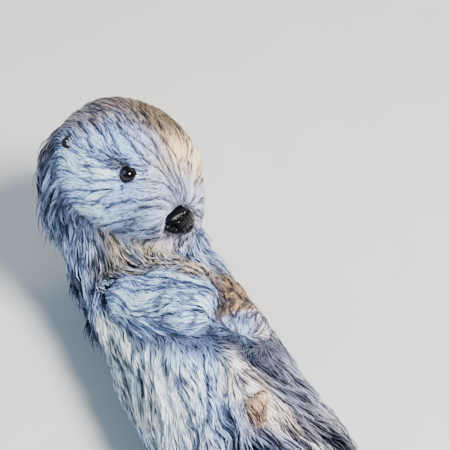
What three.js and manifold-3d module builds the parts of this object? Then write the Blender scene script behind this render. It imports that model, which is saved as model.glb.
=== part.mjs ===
// A sea otter lying on its back as it does afloat, life size and still. Millimetres, +Z up.
// The belly faces +Z, the head lies towards -X and the tail towards +X, and the animal's left is +Y.
// The head is raised and looks along the belly, and the forepaws are folded on the chest.
// Every solid reaches to the tips of the coat. Sizes are drawn from a shoulder origin, and the finished
// group is then moved so that its origin is the bottom centre of its box.

import * as THREE from 'three';
import { mergeVertices } from 'three/addons/utils/BufferGeometryUtils.js';
import Module from 'manifold-3d';

const wasm = await Module();
wasm.setup();

// Driving dimensions
const GAP = 0.5; // between neighbouring pieces
const TRUNK_LENGTH = 600;
const TRUNK_FRONT = -40; // the shoulders' front end, along X
const BACK_HEIGHT = 77; // the trunk's axis above the floor at the shoulders
const HEAD_LENGTH = 156;
const HEAD_HALF_WIDTH = 71;
const HEAD_CENTRE = new THREE.Vector3(-77, 0, 157);
const HEAD_TURN = 19; // degrees towards the animal's left
const HEAD_LIFT = 13; // degrees of the nose above the level
const HEAD_TILT = 33; // degrees of the crown towards the animal's left
const EYE_RADIUS = 8;
const EYE = { forward: 51, side: 43.5, up: 15.5 };
const EAR = { forward: -16, side: 62, up: 17, wide: 9, thick: 4 };
const NOSE = { forward: 87, up: -15, wide: 21, high: 16, deep: 9 };
const TAIL_LENGTH = 285;
const FLIPPER = { long: 190, ankle: 26, spread: 52, thick: 9, web: 2.5, toes: 5, scallop: 0.08 };
const CLAW = { fore: 9, hind: 8, thick: 1.7, fan: 60 };
const FLOOR = 0;

const point = (x, y, z) => new THREE.Vector3(x, y, z);
const degrees = THREE.MathUtils.degToRad;

// Catmull-Rom values between stations, whose first number is the share of the length that they stand at.
function girthAt(stations, share) {
  const last = stations.length - 2;
  let i = stations.findIndex((s) => s[0] > share) - 1;
  if (i < 0) i = share <= stations[0][0] ? 0 : last;
  const [p0, p1, p2, p3] = [i - 1, i, i + 1, i + 2].map(
    (n) => stations[THREE.MathUtils.clamp(n, 0, last + 1)],
  );
  const u = THREE.MathUtils.clamp((share - p1[0]) / (p2[0] - p1[0]), 0, 1);
  return p1.slice(1).map((value, k) => {
    const slope0 = ((p2[k + 1] - p0[k + 1]) / (p2[0] - p0[0])) * (p2[0] - p1[0]);
    const slope1 = ((p3[k + 1] - p1[k + 1]) / (p3[0] - p1[0])) * (p2[0] - p1[0]);
    const rise = p2[k + 1] - value;
    return value + u * (slope0 + u * (3 * rise - 2 * slope0 - slope1 + u * (slope0 + slope1 - 2 * rise)));
  });
}

// A form of flesh: a sphere drawn out along a bent axis, with oval rings. Each girth is
// [share of the length, half-width, height above the axis, depth below it].
// across is the rings' own left, at the start and at the end, and square flattens the lower half.
function form({ axis, across, acrossEnd = across, girths, sides, rings, cap = 0.12, square = 2 }) {
  const curve = new THREE.CatmullRomCurve3(axis);
  const geometry = new THREE.SphereGeometry(1, sides, rings);
  const place = geometry.getAttribute('position');
  for (let i = 0; i < place.count; i++) {
    const unit = new THREE.Vector3().fromBufferAttribute(place, i);
    const share = Math.acos(THREE.MathUtils.clamp(unit.y, -1, 1)) / Math.PI;
    const ring = Math.hypot(unit.x, unit.z) || 1;
    const along = (share + (1 - unit.y) / 2) / 2;
    const ends = Math.min(along, 1 - along) / cap;
    const round = ends < 1 ? Math.sqrt(Math.max(0, 1 - (1 - ends) ** 2)) : 1;
    const [wide, above, below] = girthAt(girths, along);
    const left = unit.x / ring;
    const up = unit.z / ring;
    const power = up < 0 ? 2 / square : 1;
    const tangent = curve.getTangentAt(along);
    const side = across.clone().lerp(acrossEnd, along);
    side.addScaledVector(tangent, -side.dot(tangent)).normalize();
    const upward = tangent.clone().cross(side);
    const spot = curve.getPointAt(along);
    if (Math.hypot(unit.x, unit.z) > 1e-6) {
      spot.addScaledVector(side, round * wide * Math.sign(left) * Math.abs(left) ** power);
      spot.addScaledVector(upward, round * (up < 0 ? below : above) * Math.sign(up) * Math.abs(up) ** power);
    }
    place.setXYZ(i, spot.x, spot.y, spot.z);
  }
  return closed(geometry);
}

// The geometry with its shared vertices merged, which a solid needs.
function closed(geometry) {
  geometry.deleteAttribute('normal');
  geometry.deleteAttribute('uv');
  return mergeVertices(geometry, 1e-3);
}

// Each vertex moved by shift(vertex), a vector, such as a brow, a cheek or a fold.
function shaped(geometry, shift) {
  const place = geometry.getAttribute('position');
  const spot = new THREE.Vector3();
  for (let i = 0; i < place.count; i++) {
    spot.fromBufferAttribute(place, i);
    spot.add(shift(spot.clone()));
    place.setXYZ(i, spot.x, spot.y, spot.z);
  }
  return geometry;
}

// A soft bump that pushes a point by push, fading over the radii of an oval around centre.
function bump(spot, centre, radii, push) {
  const off = spot.clone().sub(centre).divide(radii);
  return push.clone().multiplyScalar(Math.exp(-off.lengthSq()));
}

function solidOf(geometry) {
  return new wasm.Manifold(
    new wasm.Mesh({
      numProp: 3,
      vertProperties: new Float32Array(geometry.getAttribute('position').array),
      triVerts: new Uint32Array(geometry.index.array),
    }),
  );
}

function geometryOf(solid) {
  const mesh = solid.getMesh();
  return new THREE.BufferGeometry()
    .setAttribute('position', new THREE.BufferAttribute(mesh.vertProperties, 3))
    .setIndex(new THREE.BufferAttribute(mesh.triVerts, 1));
}

// The room that a piece takes from its neighbours: itself, grown by the gap along its normals.
function roomOf(geometry) {
  const grown = geometry.clone();
  grown.computeVertexNormals();
  const place = grown.getAttribute('position');
  const normal = grown.getAttribute('normal');
  for (let i = 0; i < place.count; i++) {
    place.setXYZ(
      i,
      place.getX(i) + GAP * normal.getX(i),
      place.getY(i) + GAP * normal.getY(i),
      place.getZ(i) + GAP * normal.getZ(i),
    );
  }
  return solidOf(grown);
}

const box = new THREE.BoxGeometry(2000, 1000, 200);
box.translate(0, 0, FLOOR - 100);
const floor = solidOf(closed(box));

// Materials
const finish = (color, roughness) => new THREE.MeshStandardMaterial({ color, roughness, metalness: 0 });
const COAT_HEAD = finish(0xd9d7d2, 0.7);
const COAT_BODY = finish(0xb9b2a8, 0.75);
const COAT_BACK = finish(0x6f6258, 0.8);
const BARE_SKIN = finish(0x2b2523, 0.5);
const NOSE_SKIN = finish(0x141416, 0.35);
const EYE_GLOSS = finish(0x120c0a, 0.08);
const HORN = finish(0x4a413b, 0.4);

const otter = new THREE.Group();
const placed = [];

// Adds a piece, less the room of every piece added before it. Small pieces go first, and the body last.
function add(name, geometry, material) {
  let solid = solidOf(geometry).subtract(floor);
  const reach = new THREE.Box3().setFromBufferAttribute(geometry.getAttribute('position'));
  for (const other of placed) {
    if (other.reach.intersectsBox(reach)) solid = solid.subtract(other.room);
  }
  const [largest] = solid.decompose().sort((a, b) => b.volume() - a.volume());
  const mesh = new THREE.Mesh(geometryOf(largest), material);
  mesh.name = name;
  otter.add(mesh);
  placed.push({ reach: reach.expandByScalar(GAP), room: roomOf(geometry) });
}

const SIDES = [
  { side: 'right', sign: -1 },
  { side: 'left', sign: 1 },
];

// The head's own axes: forward to the nose, left, and up to the crown.
const headTurn = new THREE.Matrix4().makeRotationFromEuler(
  new THREE.Euler(degrees(-HEAD_TILT), degrees(-HEAD_LIFT), degrees(HEAD_TURN), 'ZYX'),
);
const headPlace = headTurn.clone().setPosition(HEAD_CENTRE);
const inHead = (geometry) => geometry.applyMatrix4(headPlace);

function eye(sign) {
  const ball = closed(new THREE.SphereGeometry(EYE_RADIUS, 10, 7));
  ball.translate(EYE.forward, sign * EYE.side, EYE.up);
  return inHead(ball);
}

// The bare nose: a domed pad, broad above the nostrils and narrowing to the lip and to the bridge.
function nosePad() {
  const pad = closed(new THREE.SphereGeometry(1, 12, 7));
  shaped(pad, (p) => {
    const narrowing = 1 - 0.42 * Math.abs(p.z) - 0.12 * p.z;
    return point(
      NOSE.forward + NOSE.deep * p.x,
      NOSE.wide * p.y * narrowing,
      NOSE.up + NOSE.high * p.z,
    ).sub(p);
  });
  return inHead(pad);
}

// A small rolled ear: a flattened cone of skin, low on the side of the head, its tip back and down.
function ear(sign) {
  const root = point(EAR.forward + 5, sign * (EAR.side - 7), EAR.up + 4);
  const tip = point(EAR.forward - 8, sign * (EAR.side + 9), EAR.up - 9);
  const middle = root.clone().lerp(tip, 0.5).add(point(-2, sign * 3, 2));
  return inHead(
    form({
      axis: [root, middle, tip],
      across: point(0.55, 0, 0.83),
      girths: [
        [0, 7, EAR.thick, EAR.thick],
        [0.45, EAR.wide, EAR.thick, EAR.thick],
        [1, 6, 2.4, 2.4],
      ],
      sides: 8,
      rings: 5,
      cap: 0.3,
    }),
  );
}

// The head from the nape to the muzzle, with its brows, cheeks, whisker pads and chin.
function head() {
  const shape = form({
    axis: [point(-64, 0, -4), point(0, 0, 0), point(HEAD_LENGTH - 64, 0, -11)],
    across: point(0, 1, 0),
    girths: [
      [0, 50, 47, 46],
      [0.14, 62, 61, 51],
      [0.3, HEAD_HALF_WIDTH - 2, 69, 56],
      [0.45, HEAD_HALF_WIDTH, 71, 57],
      [0.6, 67, 65, 54],
      [0.73, 58, 53, 48],
      [0.86, 48, 37, 41],
      [1, 40, 27, 35],
    ],
    sides: 24,
    rings: 15,
    cap: 0.17,
  });
  shaped(shape, (p) => {
    const move = point(0, 0, 0);
    for (const { sign } of SIDES) {
      move.add(bump(p, point(74, sign * 24, -22), point(20, 17, 17), point(5, sign * 3, -1))); // whisker pad
      move.add(bump(p, point(10, sign * 62, -22), point(34, 26, 24), point(0, sign * 5, -3))); // cheek
      move.add(bump(p, point(50, sign * 40, 36), point(16, 16, 10), point(2, sign * 2, 3))); // brow
      move.add(bump(p, point(54, sign * 48, 15), point(13, 13, 11), point(-2, sign * -4, 0))); // socket
    }
    move.add(bump(p, point(80, 0, 26), point(26, 18, 12), point(0, 0, -4))); // bridge of the nose
    move.add(bump(p, point(76, 0, -46), point(20, 18, 12), point(-4, 0, 3))); // chin
    return move;
  });
  return inHead(shape);
}

// The thick, loose neck, level along the floor from under the back of the head to the shoulders.
function neck() {
  return form({
    axis: [point(-143, -8, 98), point(-62, -4, 88), point(30, 0, BACK_HEIGHT)],
    across: point(0, 1, 0),
    girths: [
      [0, 62, 46, 50],
      [0.25, 62, 60, 64],
      [0.6, 64, 61, 74],
      [1, 66, 54, 70],
    ],
    sides: 20,
    rings: 10,
    cap: 0.2,
  });
}

// The trunk along the floor: a deep chest, a broad slack belly and narrow hips, with the fold of loose
// skin that stands along the middle of the belly.
function trunk() {
  const end = TRUNK_FRONT + TRUNK_LENGTH;
  const shape = form({
    axis: [point(TRUNK_FRONT, 0, 76), point(130, 0, BACK_HEIGHT), point(330, 0, 74), point(end, 0, 50)],
    across: point(0, 1, 0),
    girths: [
      [0, 58, 44, 68],
      [0.12, 72, 57, 78],
      [0.26, 78, 67, 79],
      [0.4, 80, 61, 79],
      [0.56, 86, 66, 77],
      [0.72, 84, 60, 72],
      [0.88, 64, 44, 60],
      [1, 38, 30, 50],
    ],
    sides: 22,
    rings: 17,
    cap: 0.1,
    square: 2.5,
  });
  return shaped(shape, (p) => {
    const ridge = bump(p, point(200, 4, 138), point(48, 15, 30), point(0, 0, 7));
    return p.z > BACK_HEIGHT ? ridge : point(0, 0, 0);
  });
}

// The peak of loose skin in which the belly's fold ends, leaning to the animal's left.
function bellyFold() {
  return form({
    axis: [point(221, -2, 132), point(225, 2, 153), point(227, 12, 170)],
    across: point(1, 0, 0.2),
    girths: [
      [0, 15, 11, 11],
      [0.5, 11, 8, 8],
      [1, 7, 5, 5],
    ],
    sides: 10,
    rings: 7,
    cap: 0.3,
  });
}

// A limb's length between two joints, round or flattened across.
function limb(from, to, girths, across, sides = 12, rings = 6) {
  const middle = from.clone().lerp(to, 0.5);
  return form({ axis: [from, middle, to], across, girths, sides, rings, cap: 0.24 });
}

const ARMS = {
  right: {
    shoulder: point(14, -34, 86),
    elbow: point(53, -46, 108),
    wrist: point(83, -15, 141),
    tip: point(97, 28, 151),
    palmAcross: point(0.93, -0.3, 0.05),
    breadth: 1.2, // of the wet coat that spreads over the forearm and paw
  },
  left: {
    shoulder: point(34, 38, 84),
    elbow: point(90, 44, 104),
    wrist: point(119, 31, 136),
    tip: point(152, 13, 149),
    palmAcross: point(-0.8, -0.6, 0.05),
    breadth: 1,
  },
};

// The lengths of a limb run well into each other, so that their round ends leave no notch at a joint.
function upperArm({ shoulder, elbow, wrist }) {
  const end = elbow.clone().lerp(wrist, 0.3);
  return limb(shoulder, end, [[0, 34, 32, 32], [1, 32, 29, 29]], point(1, 0, 0));
}

function forearm({ shoulder, elbow, wrist, tip, palmAcross, breadth }) {
  const start = elbow.clone().lerp(shoulder, 0.25);
  const end = wrist.clone().lerp(tip, 0.45);
  const girths = [[0, 31, 29, 29], [0.5, 36, 28, 28], [1, 35, 23, 22]];
  return limb(start, end, broadened(girths, breadth), palmAcross);
}

const broadened = (girths, breadth) => girths.map(([at, across, ...rest]) => [at, across * breadth, ...rest]);

// A stubby forepaw like a mitten, its toes together.
function forepaw({ wrist, tip, palmAcross, breadth }) {
  const start = wrist.clone().lerp(tip, -0.35);
  return form({
    axis: [start, wrist.clone().lerp(tip, 0.5).add(point(0, 0, 3)), tip],
    across: palmAcross,
    girths: broadened([[0, 33, 23, 22], [0.4, 35, 23, 20], [0.75, 34, 20, 16], [1, 27, 15, 12]], breadth),
    sides: 12,
    rings: 7,
    cap: 0.36,
  });
}

const LEGS = {
  hip: point(432, 42, 68),
  knee: point(474, 84, 80),
  ankle: point(552, 84, 42),
  outward: 22, // degrees that the flipper turns out
  upward: 24, // degrees that it rises
};

const mirrored = (p, sign) => point(p.x, sign * p.y, p.z);

function thigh(sign) {
  return limb(
    mirrored(LEGS.hip, sign),
    mirrored(LEGS.knee, sign),
    [[0, 54, 44, 46], [1, 38, 34, 38]],
    point(1, 0, 0),
    14,
    7,
  );
}

function shank(sign) {
  return limb(
    mirrored(LEGS.knee, sign),
    mirrored(LEGS.ankle, sign),
    [[0, 34, 32, 34], [1, 22, 20, 24]],
    point(0, 1, 0),
  );
}

// 1 or -1 along the middle of each toe and 0 between two, from the inner toe at -1 to the outer at 1.
const toeWave = (v) => Math.cos((FLIPPER.toes * Math.PI * (v + 1)) / 2 + Math.PI / 2);

// The flipper's plan: how far each line of the foot reaches. The web draws back a little between the toes.
function toeReach(v) {
  return FLIPPER.long * (0.86 + 0.14 * v) * (1 - FLIPPER.scallop * Math.sqrt(1 - toeWave(v) ** 2));
}

// Where the flipper lies: its own x from the ankle to the toes and its own z up from the foot's top.
function flipperPlace(sign) {
  const turn = new THREE.Euler(0, degrees(-LEGS.upward), degrees(sign * LEGS.outward), 'ZYX');
  const start = mirrored(LEGS.ankle, sign).add(point(-14, 0, -2));
  return new THREE.Matrix4().makeRotationFromEuler(turn).setPosition(start);
}

// A long webbed hind foot: a sheet of web that swells into five toes.
function flipper(sign) {
  const plate = new THREE.BoxGeometry(1, 2, 2, 5, 15, 1);
  shaped(plate, (p) => {
    const u = p.x + 0.5;
    const v = p.y;
    const half = THREE.MathUtils.lerp(FLIPPER.ankle, FLIPPER.spread, u ** 0.8);
    const toe = toeWave(v) ** 2;
    const rim = Math.sqrt(Math.max(0.05, 1 - v ** 4)) * Math.sqrt(Math.max(0.12, 1 - u ** 6));
    const heel = THREE.MathUtils.lerp(20, FLIPPER.thick, THREE.MathUtils.smoothstep(u, 0, 0.45));
    const web = THREE.MathUtils.lerp(heel, FLIPPER.web, THREE.MathUtils.smoothstep(u, 0.35, 0.8));
    const high = (web + (heel - web) * toe) * rim;
    return point(u * toeReach(v), sign * v * half, p.z * high).sub(p);
  });
  if (sign < 0) reverseFaces(plate);
  return closed(plate).applyMatrix4(flipperPlace(sign));
}

// Turns the faces round after a mirroring.
function reverseFaces(geometry) {
  const index = geometry.index.array;
  for (let i = 0; i < index.length; i += 3) [index[i], index[i + 1]] = [index[i + 1], index[i]];
}

// A slim curved claw from its root towards its tip, sinking a little into the toe.
function claw(root, forward, down, long) {
  const tip = root.clone().addScaledVector(forward, long).addScaledVector(down, long * 0.35);
  const bend = root.clone().addScaledVector(forward, long * 0.55).addScaledVector(down, long * 0.08);
  const across = forward.clone().cross(down).normalize();
  const round = (share, radius) => [share, radius, radius, radius];
  return form({
    axis: [root, bend, tip],
    across,
    girths: [round(0, CLAW.thick), round(0.6, CLAW.thick * 0.8), round(1, 0.6)],
    sides: 5,
    rings: 4,
    cap: 0.12,
  });
}

// Five claws round the front of a forepaw.
function foreClaws(arm, name) {
  const forward = arm.tip.clone().sub(arm.wrist).normalize();
  const across = arm.palmAcross.clone().normalize();
  const up = forward.clone().cross(across).normalize();
  for (let i = 0; i < 5; i++) {
    const fan = (i - 2) / 2;
    const turn = degrees(CLAW.fan) * fan;
    const reach = forward.clone().multiplyScalar(Math.cos(turn)).addScaledVector(across, Math.sin(turn));
    const heart = arm.tip.clone().addScaledVector(forward, -19);
    const root = heart.addScaledVector(across, fan * 8).addScaledVector(reach, 16.5).addScaledVector(up, 1.5);
    add(`claw_fore_${name}_${i + 1}`, claw(root, reach, up.clone().negate(), CLAW.fore), HORN);
  }
}

// One claw at the end of each toe of a flipper.
function hindClaws(sign, name) {
  const place = flipperPlace(sign);
  const turn = new THREE.Matrix4().extractRotation(place);
  for (let i = 0; i < FLIPPER.toes; i++) {
    const v = (2 * i + 1) / FLIPPER.toes - 1;
    const root = point(toeReach(v) - 5, sign * v * FLIPPER.spread * 0.99, 0.5).applyMatrix4(place);
    const forward = point(1, sign * v * 0.18, 0.1).applyMatrix4(turn).normalize();
    const down = point(0, 0, -1).applyMatrix4(turn);
    add(`claw_hind_${name}_${i + 1}`, claw(root, forward, down, CLAW.hind), HORN);
  }
}

// The flat tail, straight out along the floor.
function tail() {
  const start = TRUNK_FRONT + TRUNK_LENGTH - 45;
  return form({
    axis: [point(start, 0, 38), point(start + 110, 0, 22), point(start + TAIL_LENGTH, 0, 11)],
    across: point(0, 1, 0),
    girths: [[0, 44, 34, 42], [0.25, 35, 22, 28], [0.6, 29, 15, 18], [0.9, 20, 10, 13], [1, 15, 8, 12]],
    sides: 14,
    rings: 10,
    cap: 0.12,
    square: 2.4,
  });
}

// The pieces, smallest first, because each takes its room from those that follow.
for (const { side, sign } of SIDES) {
  add(`eye_${side}`, eye(sign), EYE_GLOSS);
  add(`ear_${side}`, ear(sign), COAT_BACK);
  foreClaws(ARMS[side], side);
  hindClaws(sign, side);
}
add('nose', nosePad(), NOSE_SKIN);
add('head', head(), COAT_HEAD);
for (const { side, sign } of SIDES) {
  add(`forepaw_${side}`, forepaw(ARMS[side]), COAT_BODY);
  add(`forearm_${side}`, forearm(ARMS[side]), COAT_BODY);
  add(`upper_arm_${side}`, upperArm(ARMS[side]), COAT_BODY);
  add(`flipper_${side}`, flipper(sign), BARE_SKIN);
  add(`shank_${side}`, shank(sign), COAT_BACK);
  add(`thigh_${side}`, thigh(sign), COAT_BODY);
}
add('belly_fold', bellyFold(), COAT_BODY);
add('neck', neck(), COAT_HEAD);
add('tail', tail(), COAT_BACK);
add('trunk', trunk(), COAT_BODY);

const bounds = new THREE.Box3().setFromObject(otter, true);
const middle = bounds.getCenter(new THREE.Vector3());
otter.position.set(-middle.x, -middle.y, -bounds.min.z);

export default otter;
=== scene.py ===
import math

import bpy
import numpy as np
from bpy.props import FloatProperty, FloatVectorProperty, IntProperty, PointerProperty
from mathutils import Matrix, Vector


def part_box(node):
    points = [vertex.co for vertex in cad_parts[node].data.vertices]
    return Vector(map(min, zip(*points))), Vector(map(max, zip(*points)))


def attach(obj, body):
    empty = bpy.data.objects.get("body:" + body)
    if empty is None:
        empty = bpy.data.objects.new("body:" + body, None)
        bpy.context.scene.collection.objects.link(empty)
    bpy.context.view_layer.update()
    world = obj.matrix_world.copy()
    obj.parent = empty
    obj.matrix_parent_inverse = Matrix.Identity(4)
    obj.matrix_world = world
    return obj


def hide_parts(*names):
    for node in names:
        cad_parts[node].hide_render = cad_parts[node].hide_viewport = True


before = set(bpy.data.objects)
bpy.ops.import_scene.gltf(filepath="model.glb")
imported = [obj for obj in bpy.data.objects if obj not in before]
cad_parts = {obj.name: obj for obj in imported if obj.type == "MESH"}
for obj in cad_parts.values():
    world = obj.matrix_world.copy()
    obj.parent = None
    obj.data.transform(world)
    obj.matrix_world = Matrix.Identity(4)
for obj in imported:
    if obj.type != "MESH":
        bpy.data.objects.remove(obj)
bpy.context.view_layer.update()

bl_info = {
    "name": "Sea otter",
    "version": (1, 0, 0),
    "blender": (4, 5, 0),
    "location": "View3D > Sidebar > Sea otter",
    "description": "A sea otter at rest on its back: one skin, a wet coat of solid locks, and its face",
    "category": "Add Mesh",
}

SIDES = (("right", -1.0), ("left", 1.0))
FLESH = ["head", "neck", "trunk", "tail", "belly_fold"] + [
    f"{part}_{side}"
    for side, _ in SIDES
    for part in ("upper_arm", "forearm", "forepaw", "thigh", "shank", "flipper")
]
CHAINS = [
    [f"{part}_{side}" for part in parts]
    for side, _ in SIDES
    for parts in (("upper_arm", "forearm", "forepaw"), ("thigh", "shank", "flipper"))
]


# ---------------------------------------------------------------- sizes and colours


def metres(name, text, *value):
    """A property in metres, of one number or of several."""
    if len(value) == 1:
        return FloatProperty(name=name, description=text, default=value[0], unit="LENGTH")
    return FloatVectorProperty(name=name, description=text, size=len(value), default=value, unit="LENGTH")


def degrees(name, text, value):
    return FloatProperty(name=name, description=text, default=math.radians(value), subtype="ANGLE")


def paint(name, text, *value):
    return FloatVectorProperty(name=name, description=text, default=value, subtype="COLOR")


class OtterSizes(bpy.types.PropertyGroup):
    """Places on the head are forward, sideways and up from its centre."""

    head_turn: degrees("Head turn", "Towards the animal's left", 19)
    head_lift: degrees("Head lift", "Nose above the level", 13)
    head_tilt: degrees("Head tilt", "Crown towards the animal's left", 33)
    eye_place: metres("Eye place", "Of the ball's centre", 0.051, 0.0435, 0.0155)
    eye_radius: metres("Eye radius", "Of the ball", 0.008)
    nose_place: metres("Nose place", "Of the middle between the nostrils", 0.0925, 0.0, -0.0185)
    skin_cell: metres("Skin cell", "Side of the skin's faces", 0.0028)
    closing: metres("Closing", "Swelling that joins the solids before the skin sinks", 0.004)
    depth_body: metres("Body depth", "Coat over the trunk", 0.0085)
    depth_head: metres("Head depth", "Coat over the crown", 0.0040)
    depth_face: metres("Face depth", "Coat over the muzzle", 0.0022)
    depth_limb: metres("Limb depth", "Coat over the limbs", 0.0055)
    depth_foot: metres("Foot depth", "Coat over the flippers", 0.0010)
    depth_floor: metres("Pressed depth", "Coat pressed flat under the back", 0.0030)
    ridge_height: metres("Ridge height", "Of the fold of loose skin on the belly", 0.0050)
    fold_depth: metres("Fold depth", "Crease between parts that only touch", 0.0050)
    waviness: degrees("Waviness", "How far the lie of the coat swings", 95)
    seed: IntProperty(name="Seed", description="Of every scattering", default=7)


class OtterColours(bpy.types.PropertyGroup):
    # Silver is the pale coat and slate its grey; both are tinted blue as painted skylight.
    silver: paint("Silver", "Pale coat", 0.39, 0.56, 0.96)
    # Cream on the head's left side is painted warm light; on the belly's fold and the left arm it is the
    # coat's own colour.
    cream: paint("Cream", "Warm crown and flank", 0.88, 0.62, 0.38)
    taupe: paint("Taupe", "Crown and far flank", 0.150, 0.122, 0.120)
    # Slate, darkened, is also the colour of painted shade about the eyes, in the folds behind the jaw, under
    # the forearms, and between and under the paws.
    slate: paint("Slate", "Grey of nape and belly", 0.20, 0.26, 0.42)
    brown: paint("Brown", "Back and limbs", 0.105, 0.070, 0.050)
    straw: paint("Straw", "Stain at the chin", 0.58, 0.45, 0.19)
    # Undercoat: the dark wet roots, and also the colour of the painted shade in the coat.
    under: paint("Undercoat", "Wet roots", 0.014, 0.015, 0.030)
    bare: paint("Bare skin", "Flippers and lids", 0.035, 0.027, 0.024)
    nose: paint("Nose", "Wet black pad", 0.003, 0.003, 0.005)
    eye: paint("Eye", "Deep brown", 0.0025, 0.0018, 0.0018)
    horn: paint("Horn", "Claws", 0.030, 0.024, 0.020)
    floor: paint("Floor", "Pale", 0.72, 0.71, 0.69)


class OtterCoat(bpy.types.PropertyGroup):
    """Each vector is a lock's length, width and standing height, and the size of the wet clumps."""

    face: metres("Face", "Muzzle and cheeks", 0.0175, 0.0023, 0.0029, 0.0062)
    crown: metres("Crown", "Forehead and crown", 0.0220, 0.0025, 0.0036, 0.0066)
    neck: metres("Neck", "Nape, throat and sides", 0.034, 0.0026, 0.0105, 0.0100)
    body: metres("Body", "Chest, belly and back", 0.033, 0.0031, 0.0080, 0.0100)
    arm: metres("Arm", "Short and sleek", 0.0220, 0.0021, 0.0032, 0.0088)
    leg: metres("Leg", "Legs and tail", 0.026, 0.0023, 0.0052, 0.0085)
    paw: metres("Paw", "Forepaws", 0.0145, 0.0018, 0.0028, 0.0056)
    foot: metres("Foot", "Flippers", 0.0060, 0.0012, 0.0011, 0.0040)


# ---------------------------------------------------------------- arrays


def unit(v):
    return v / np.maximum(np.linalg.norm(v, axis=-1, keepdims=True), 1e-12)


def ease(x, low, high):
    """0 below low, 1 above high, and a smooth rise between."""
    t = np.clip((x - low) / (high - low), 0, 1)
    return t * t * (3 - 2 * t)


def mound(p, centre, radii):
    """1 at centre, fading over the radii of an oval."""
    return np.exp(-(((p - np.asarray(centre)) / np.asarray(radii)) ** 2).sum(-1))


def lattice(cell, seed):
    """Three random numbers from 0 to 1 for each whole-number cell."""
    base = cell[..., :1] * 127.1 + cell[..., 1:2] * 311.7 + cell[..., 2:3] * 74.7 + seed * 17.17
    return np.modf(np.abs(np.sin(base + np.array([0.0, 269.5, 419.2])) * 43758.5453))[0]


def cloud(p, size, seed=0):
    """Smooth noise from 0 to 1 whose lumps are about size across: eased blends of a random lattice."""
    q = p / size
    low = np.floor(q)
    part = q - low
    part = part * part * (3 - 2 * part)
    total = 0
    for corner in np.ndindex(2, 2, 2):
        c = np.array(corner)
        share = np.prod(np.where(c, part, 1 - part), axis=-1)
        total = total + share * lattice(low + c, seed)[..., 0]
    return total


def clump_of(p, lie, size, stretch, seed=0):
    """The nearest of a set of scattered clump centres, one in each cell of that size, where a step along
    the lie counts for less than one across it, so that clumps are long."""
    cell = np.floor(p / size)
    best = np.full(len(p), 1e9)
    heart = np.zeros_like(p)
    for off in np.ndindex(5, 5, 5):
        c = cell + np.array(off) - 2
        spot = (c + 0.1 + 0.8 * lattice(c, seed)) * size
        d = spot - p
        along = (d * lie).sum(-1)
        away = (d * d).sum(-1) - along**2 * (1 - stretch**-2)
        nearer = away < best
        best[nearer] = away[nearer]
        heart[nearer] = spot[nearer]
    return heart


def per_vertex(index, values, count):
    """Sums values, one row for each index, into count rows."""
    return np.stack([np.bincount(index, v, count) for v in values.T], -1)


def normals_of(co, tri):
    face = np.cross(co[tri[:, 1]] - co[tri[:, 0]], co[tri[:, 2]] - co[tri[:, 0]])
    return unit(sum(per_vertex(tri[:, k], face, len(co)) for k in range(3)))


def relaxed(values, edges, rounds, strength=0.5):
    """Values at the vertices, drawn to the mean of their neighbours again and again. strength may be one
    per vertex."""
    ends = np.concatenate([edges[:, 0], edges[:, 1]])
    others = np.concatenate([edges[:, 1], edges[:, 0]])
    degree = np.maximum(np.bincount(ends, minlength=len(values)), 1)[:, None]
    strength = np.broadcast_to(np.reshape(strength, (-1, 1)), (len(values), 1))
    for _ in range(rounds):
        values = values + strength * (per_vertex(ends, values[others], len(values)) / degree - values)
    return values


def mesh_piece(name, co, loops, totals, tint=None, uv=None):
    """A mesh object from arrays: its vertices, the loops of its faces and how many each face has."""
    mesh = bpy.data.meshes.new(name)
    mesh.vertices.add(len(co))
    mesh.vertices.foreach_set("co", np.asarray(co, np.float32).ravel())
    mesh.loops.add(len(loops))
    mesh.loops.foreach_set("vertex_index", np.asarray(loops, np.int32))
    mesh.polygons.add(len(totals))
    starts = np.concatenate([[0], np.cumsum(totals)[:-1]]).astype(np.int32)
    mesh.polygons.foreach_set("loop_start", starts)
    mesh.polygons.foreach_set("loop_total", np.asarray(totals, np.int32))
    mesh.update(calc_edges=True)
    mesh.polygons.foreach_set("use_smooth", np.ones(len(totals), bool))
    if tint is not None:
        layer = mesh.attributes.new("tint", "FLOAT_COLOR", "POINT")
        rgba = np.ones((len(co), 4), np.float32)
        rgba[:, :3] = tint
        layer.data.foreach_set("color", rgba.ravel())
    if uv is not None:
        layer = mesh.uv_layers.new(name="OFBake")
        layer.data.foreach_set("uv", np.asarray(uv, np.float32)[np.asarray(loops)].ravel())
    mesh.validate()
    piece = bpy.data.objects.new(name, mesh)
    bpy.context.scene.collection.objects.link(piece)
    return piece


def sheet_faces(rows, columns, round_columns=False):
    """Quads of a grid of rows by columns, whose columns may close round."""
    c = np.arange(columns if round_columns else columns - 1)
    r, c = (a.ravel() for a in np.meshgrid(np.arange(rows - 1), c, indexing="ij"))
    r, c, c1 = r * columns, c, (c + 1) % columns
    return np.stack([r + c, r + c1, r + columns + c1, r + columns + c], -1)


def surface(name, points, round_columns=False):
    """A piece from a grid of points, rows by columns by three."""
    quads = sheet_faces(*points.shape[:2], round_columns)
    return mesh_piece(name, points.reshape(-1, 3), quads.ravel(), np.full(len(quads), 4))


def joined(name, grids, tint=None):
    """One piece from several grids of points, each round on its columns."""
    co, quads, tints, start = [], [], [], 0
    for n, g in enumerate(grids):
        co.append(g.reshape(-1, 3))
        quads.append(sheet_faces(*g.shape[:2], True) + start)
        start += len(co[-1])
        if tint is not None:
            tints.append(np.broadcast_to(tint[n], g.shape).reshape(-1, 3))
    quads = np.concatenate(quads)
    flat = np.concatenate(tints) if tint is not None else None
    return mesh_piece(name, np.concatenate(co), quads.ravel(), np.full(len(quads), 4), flat)


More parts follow.
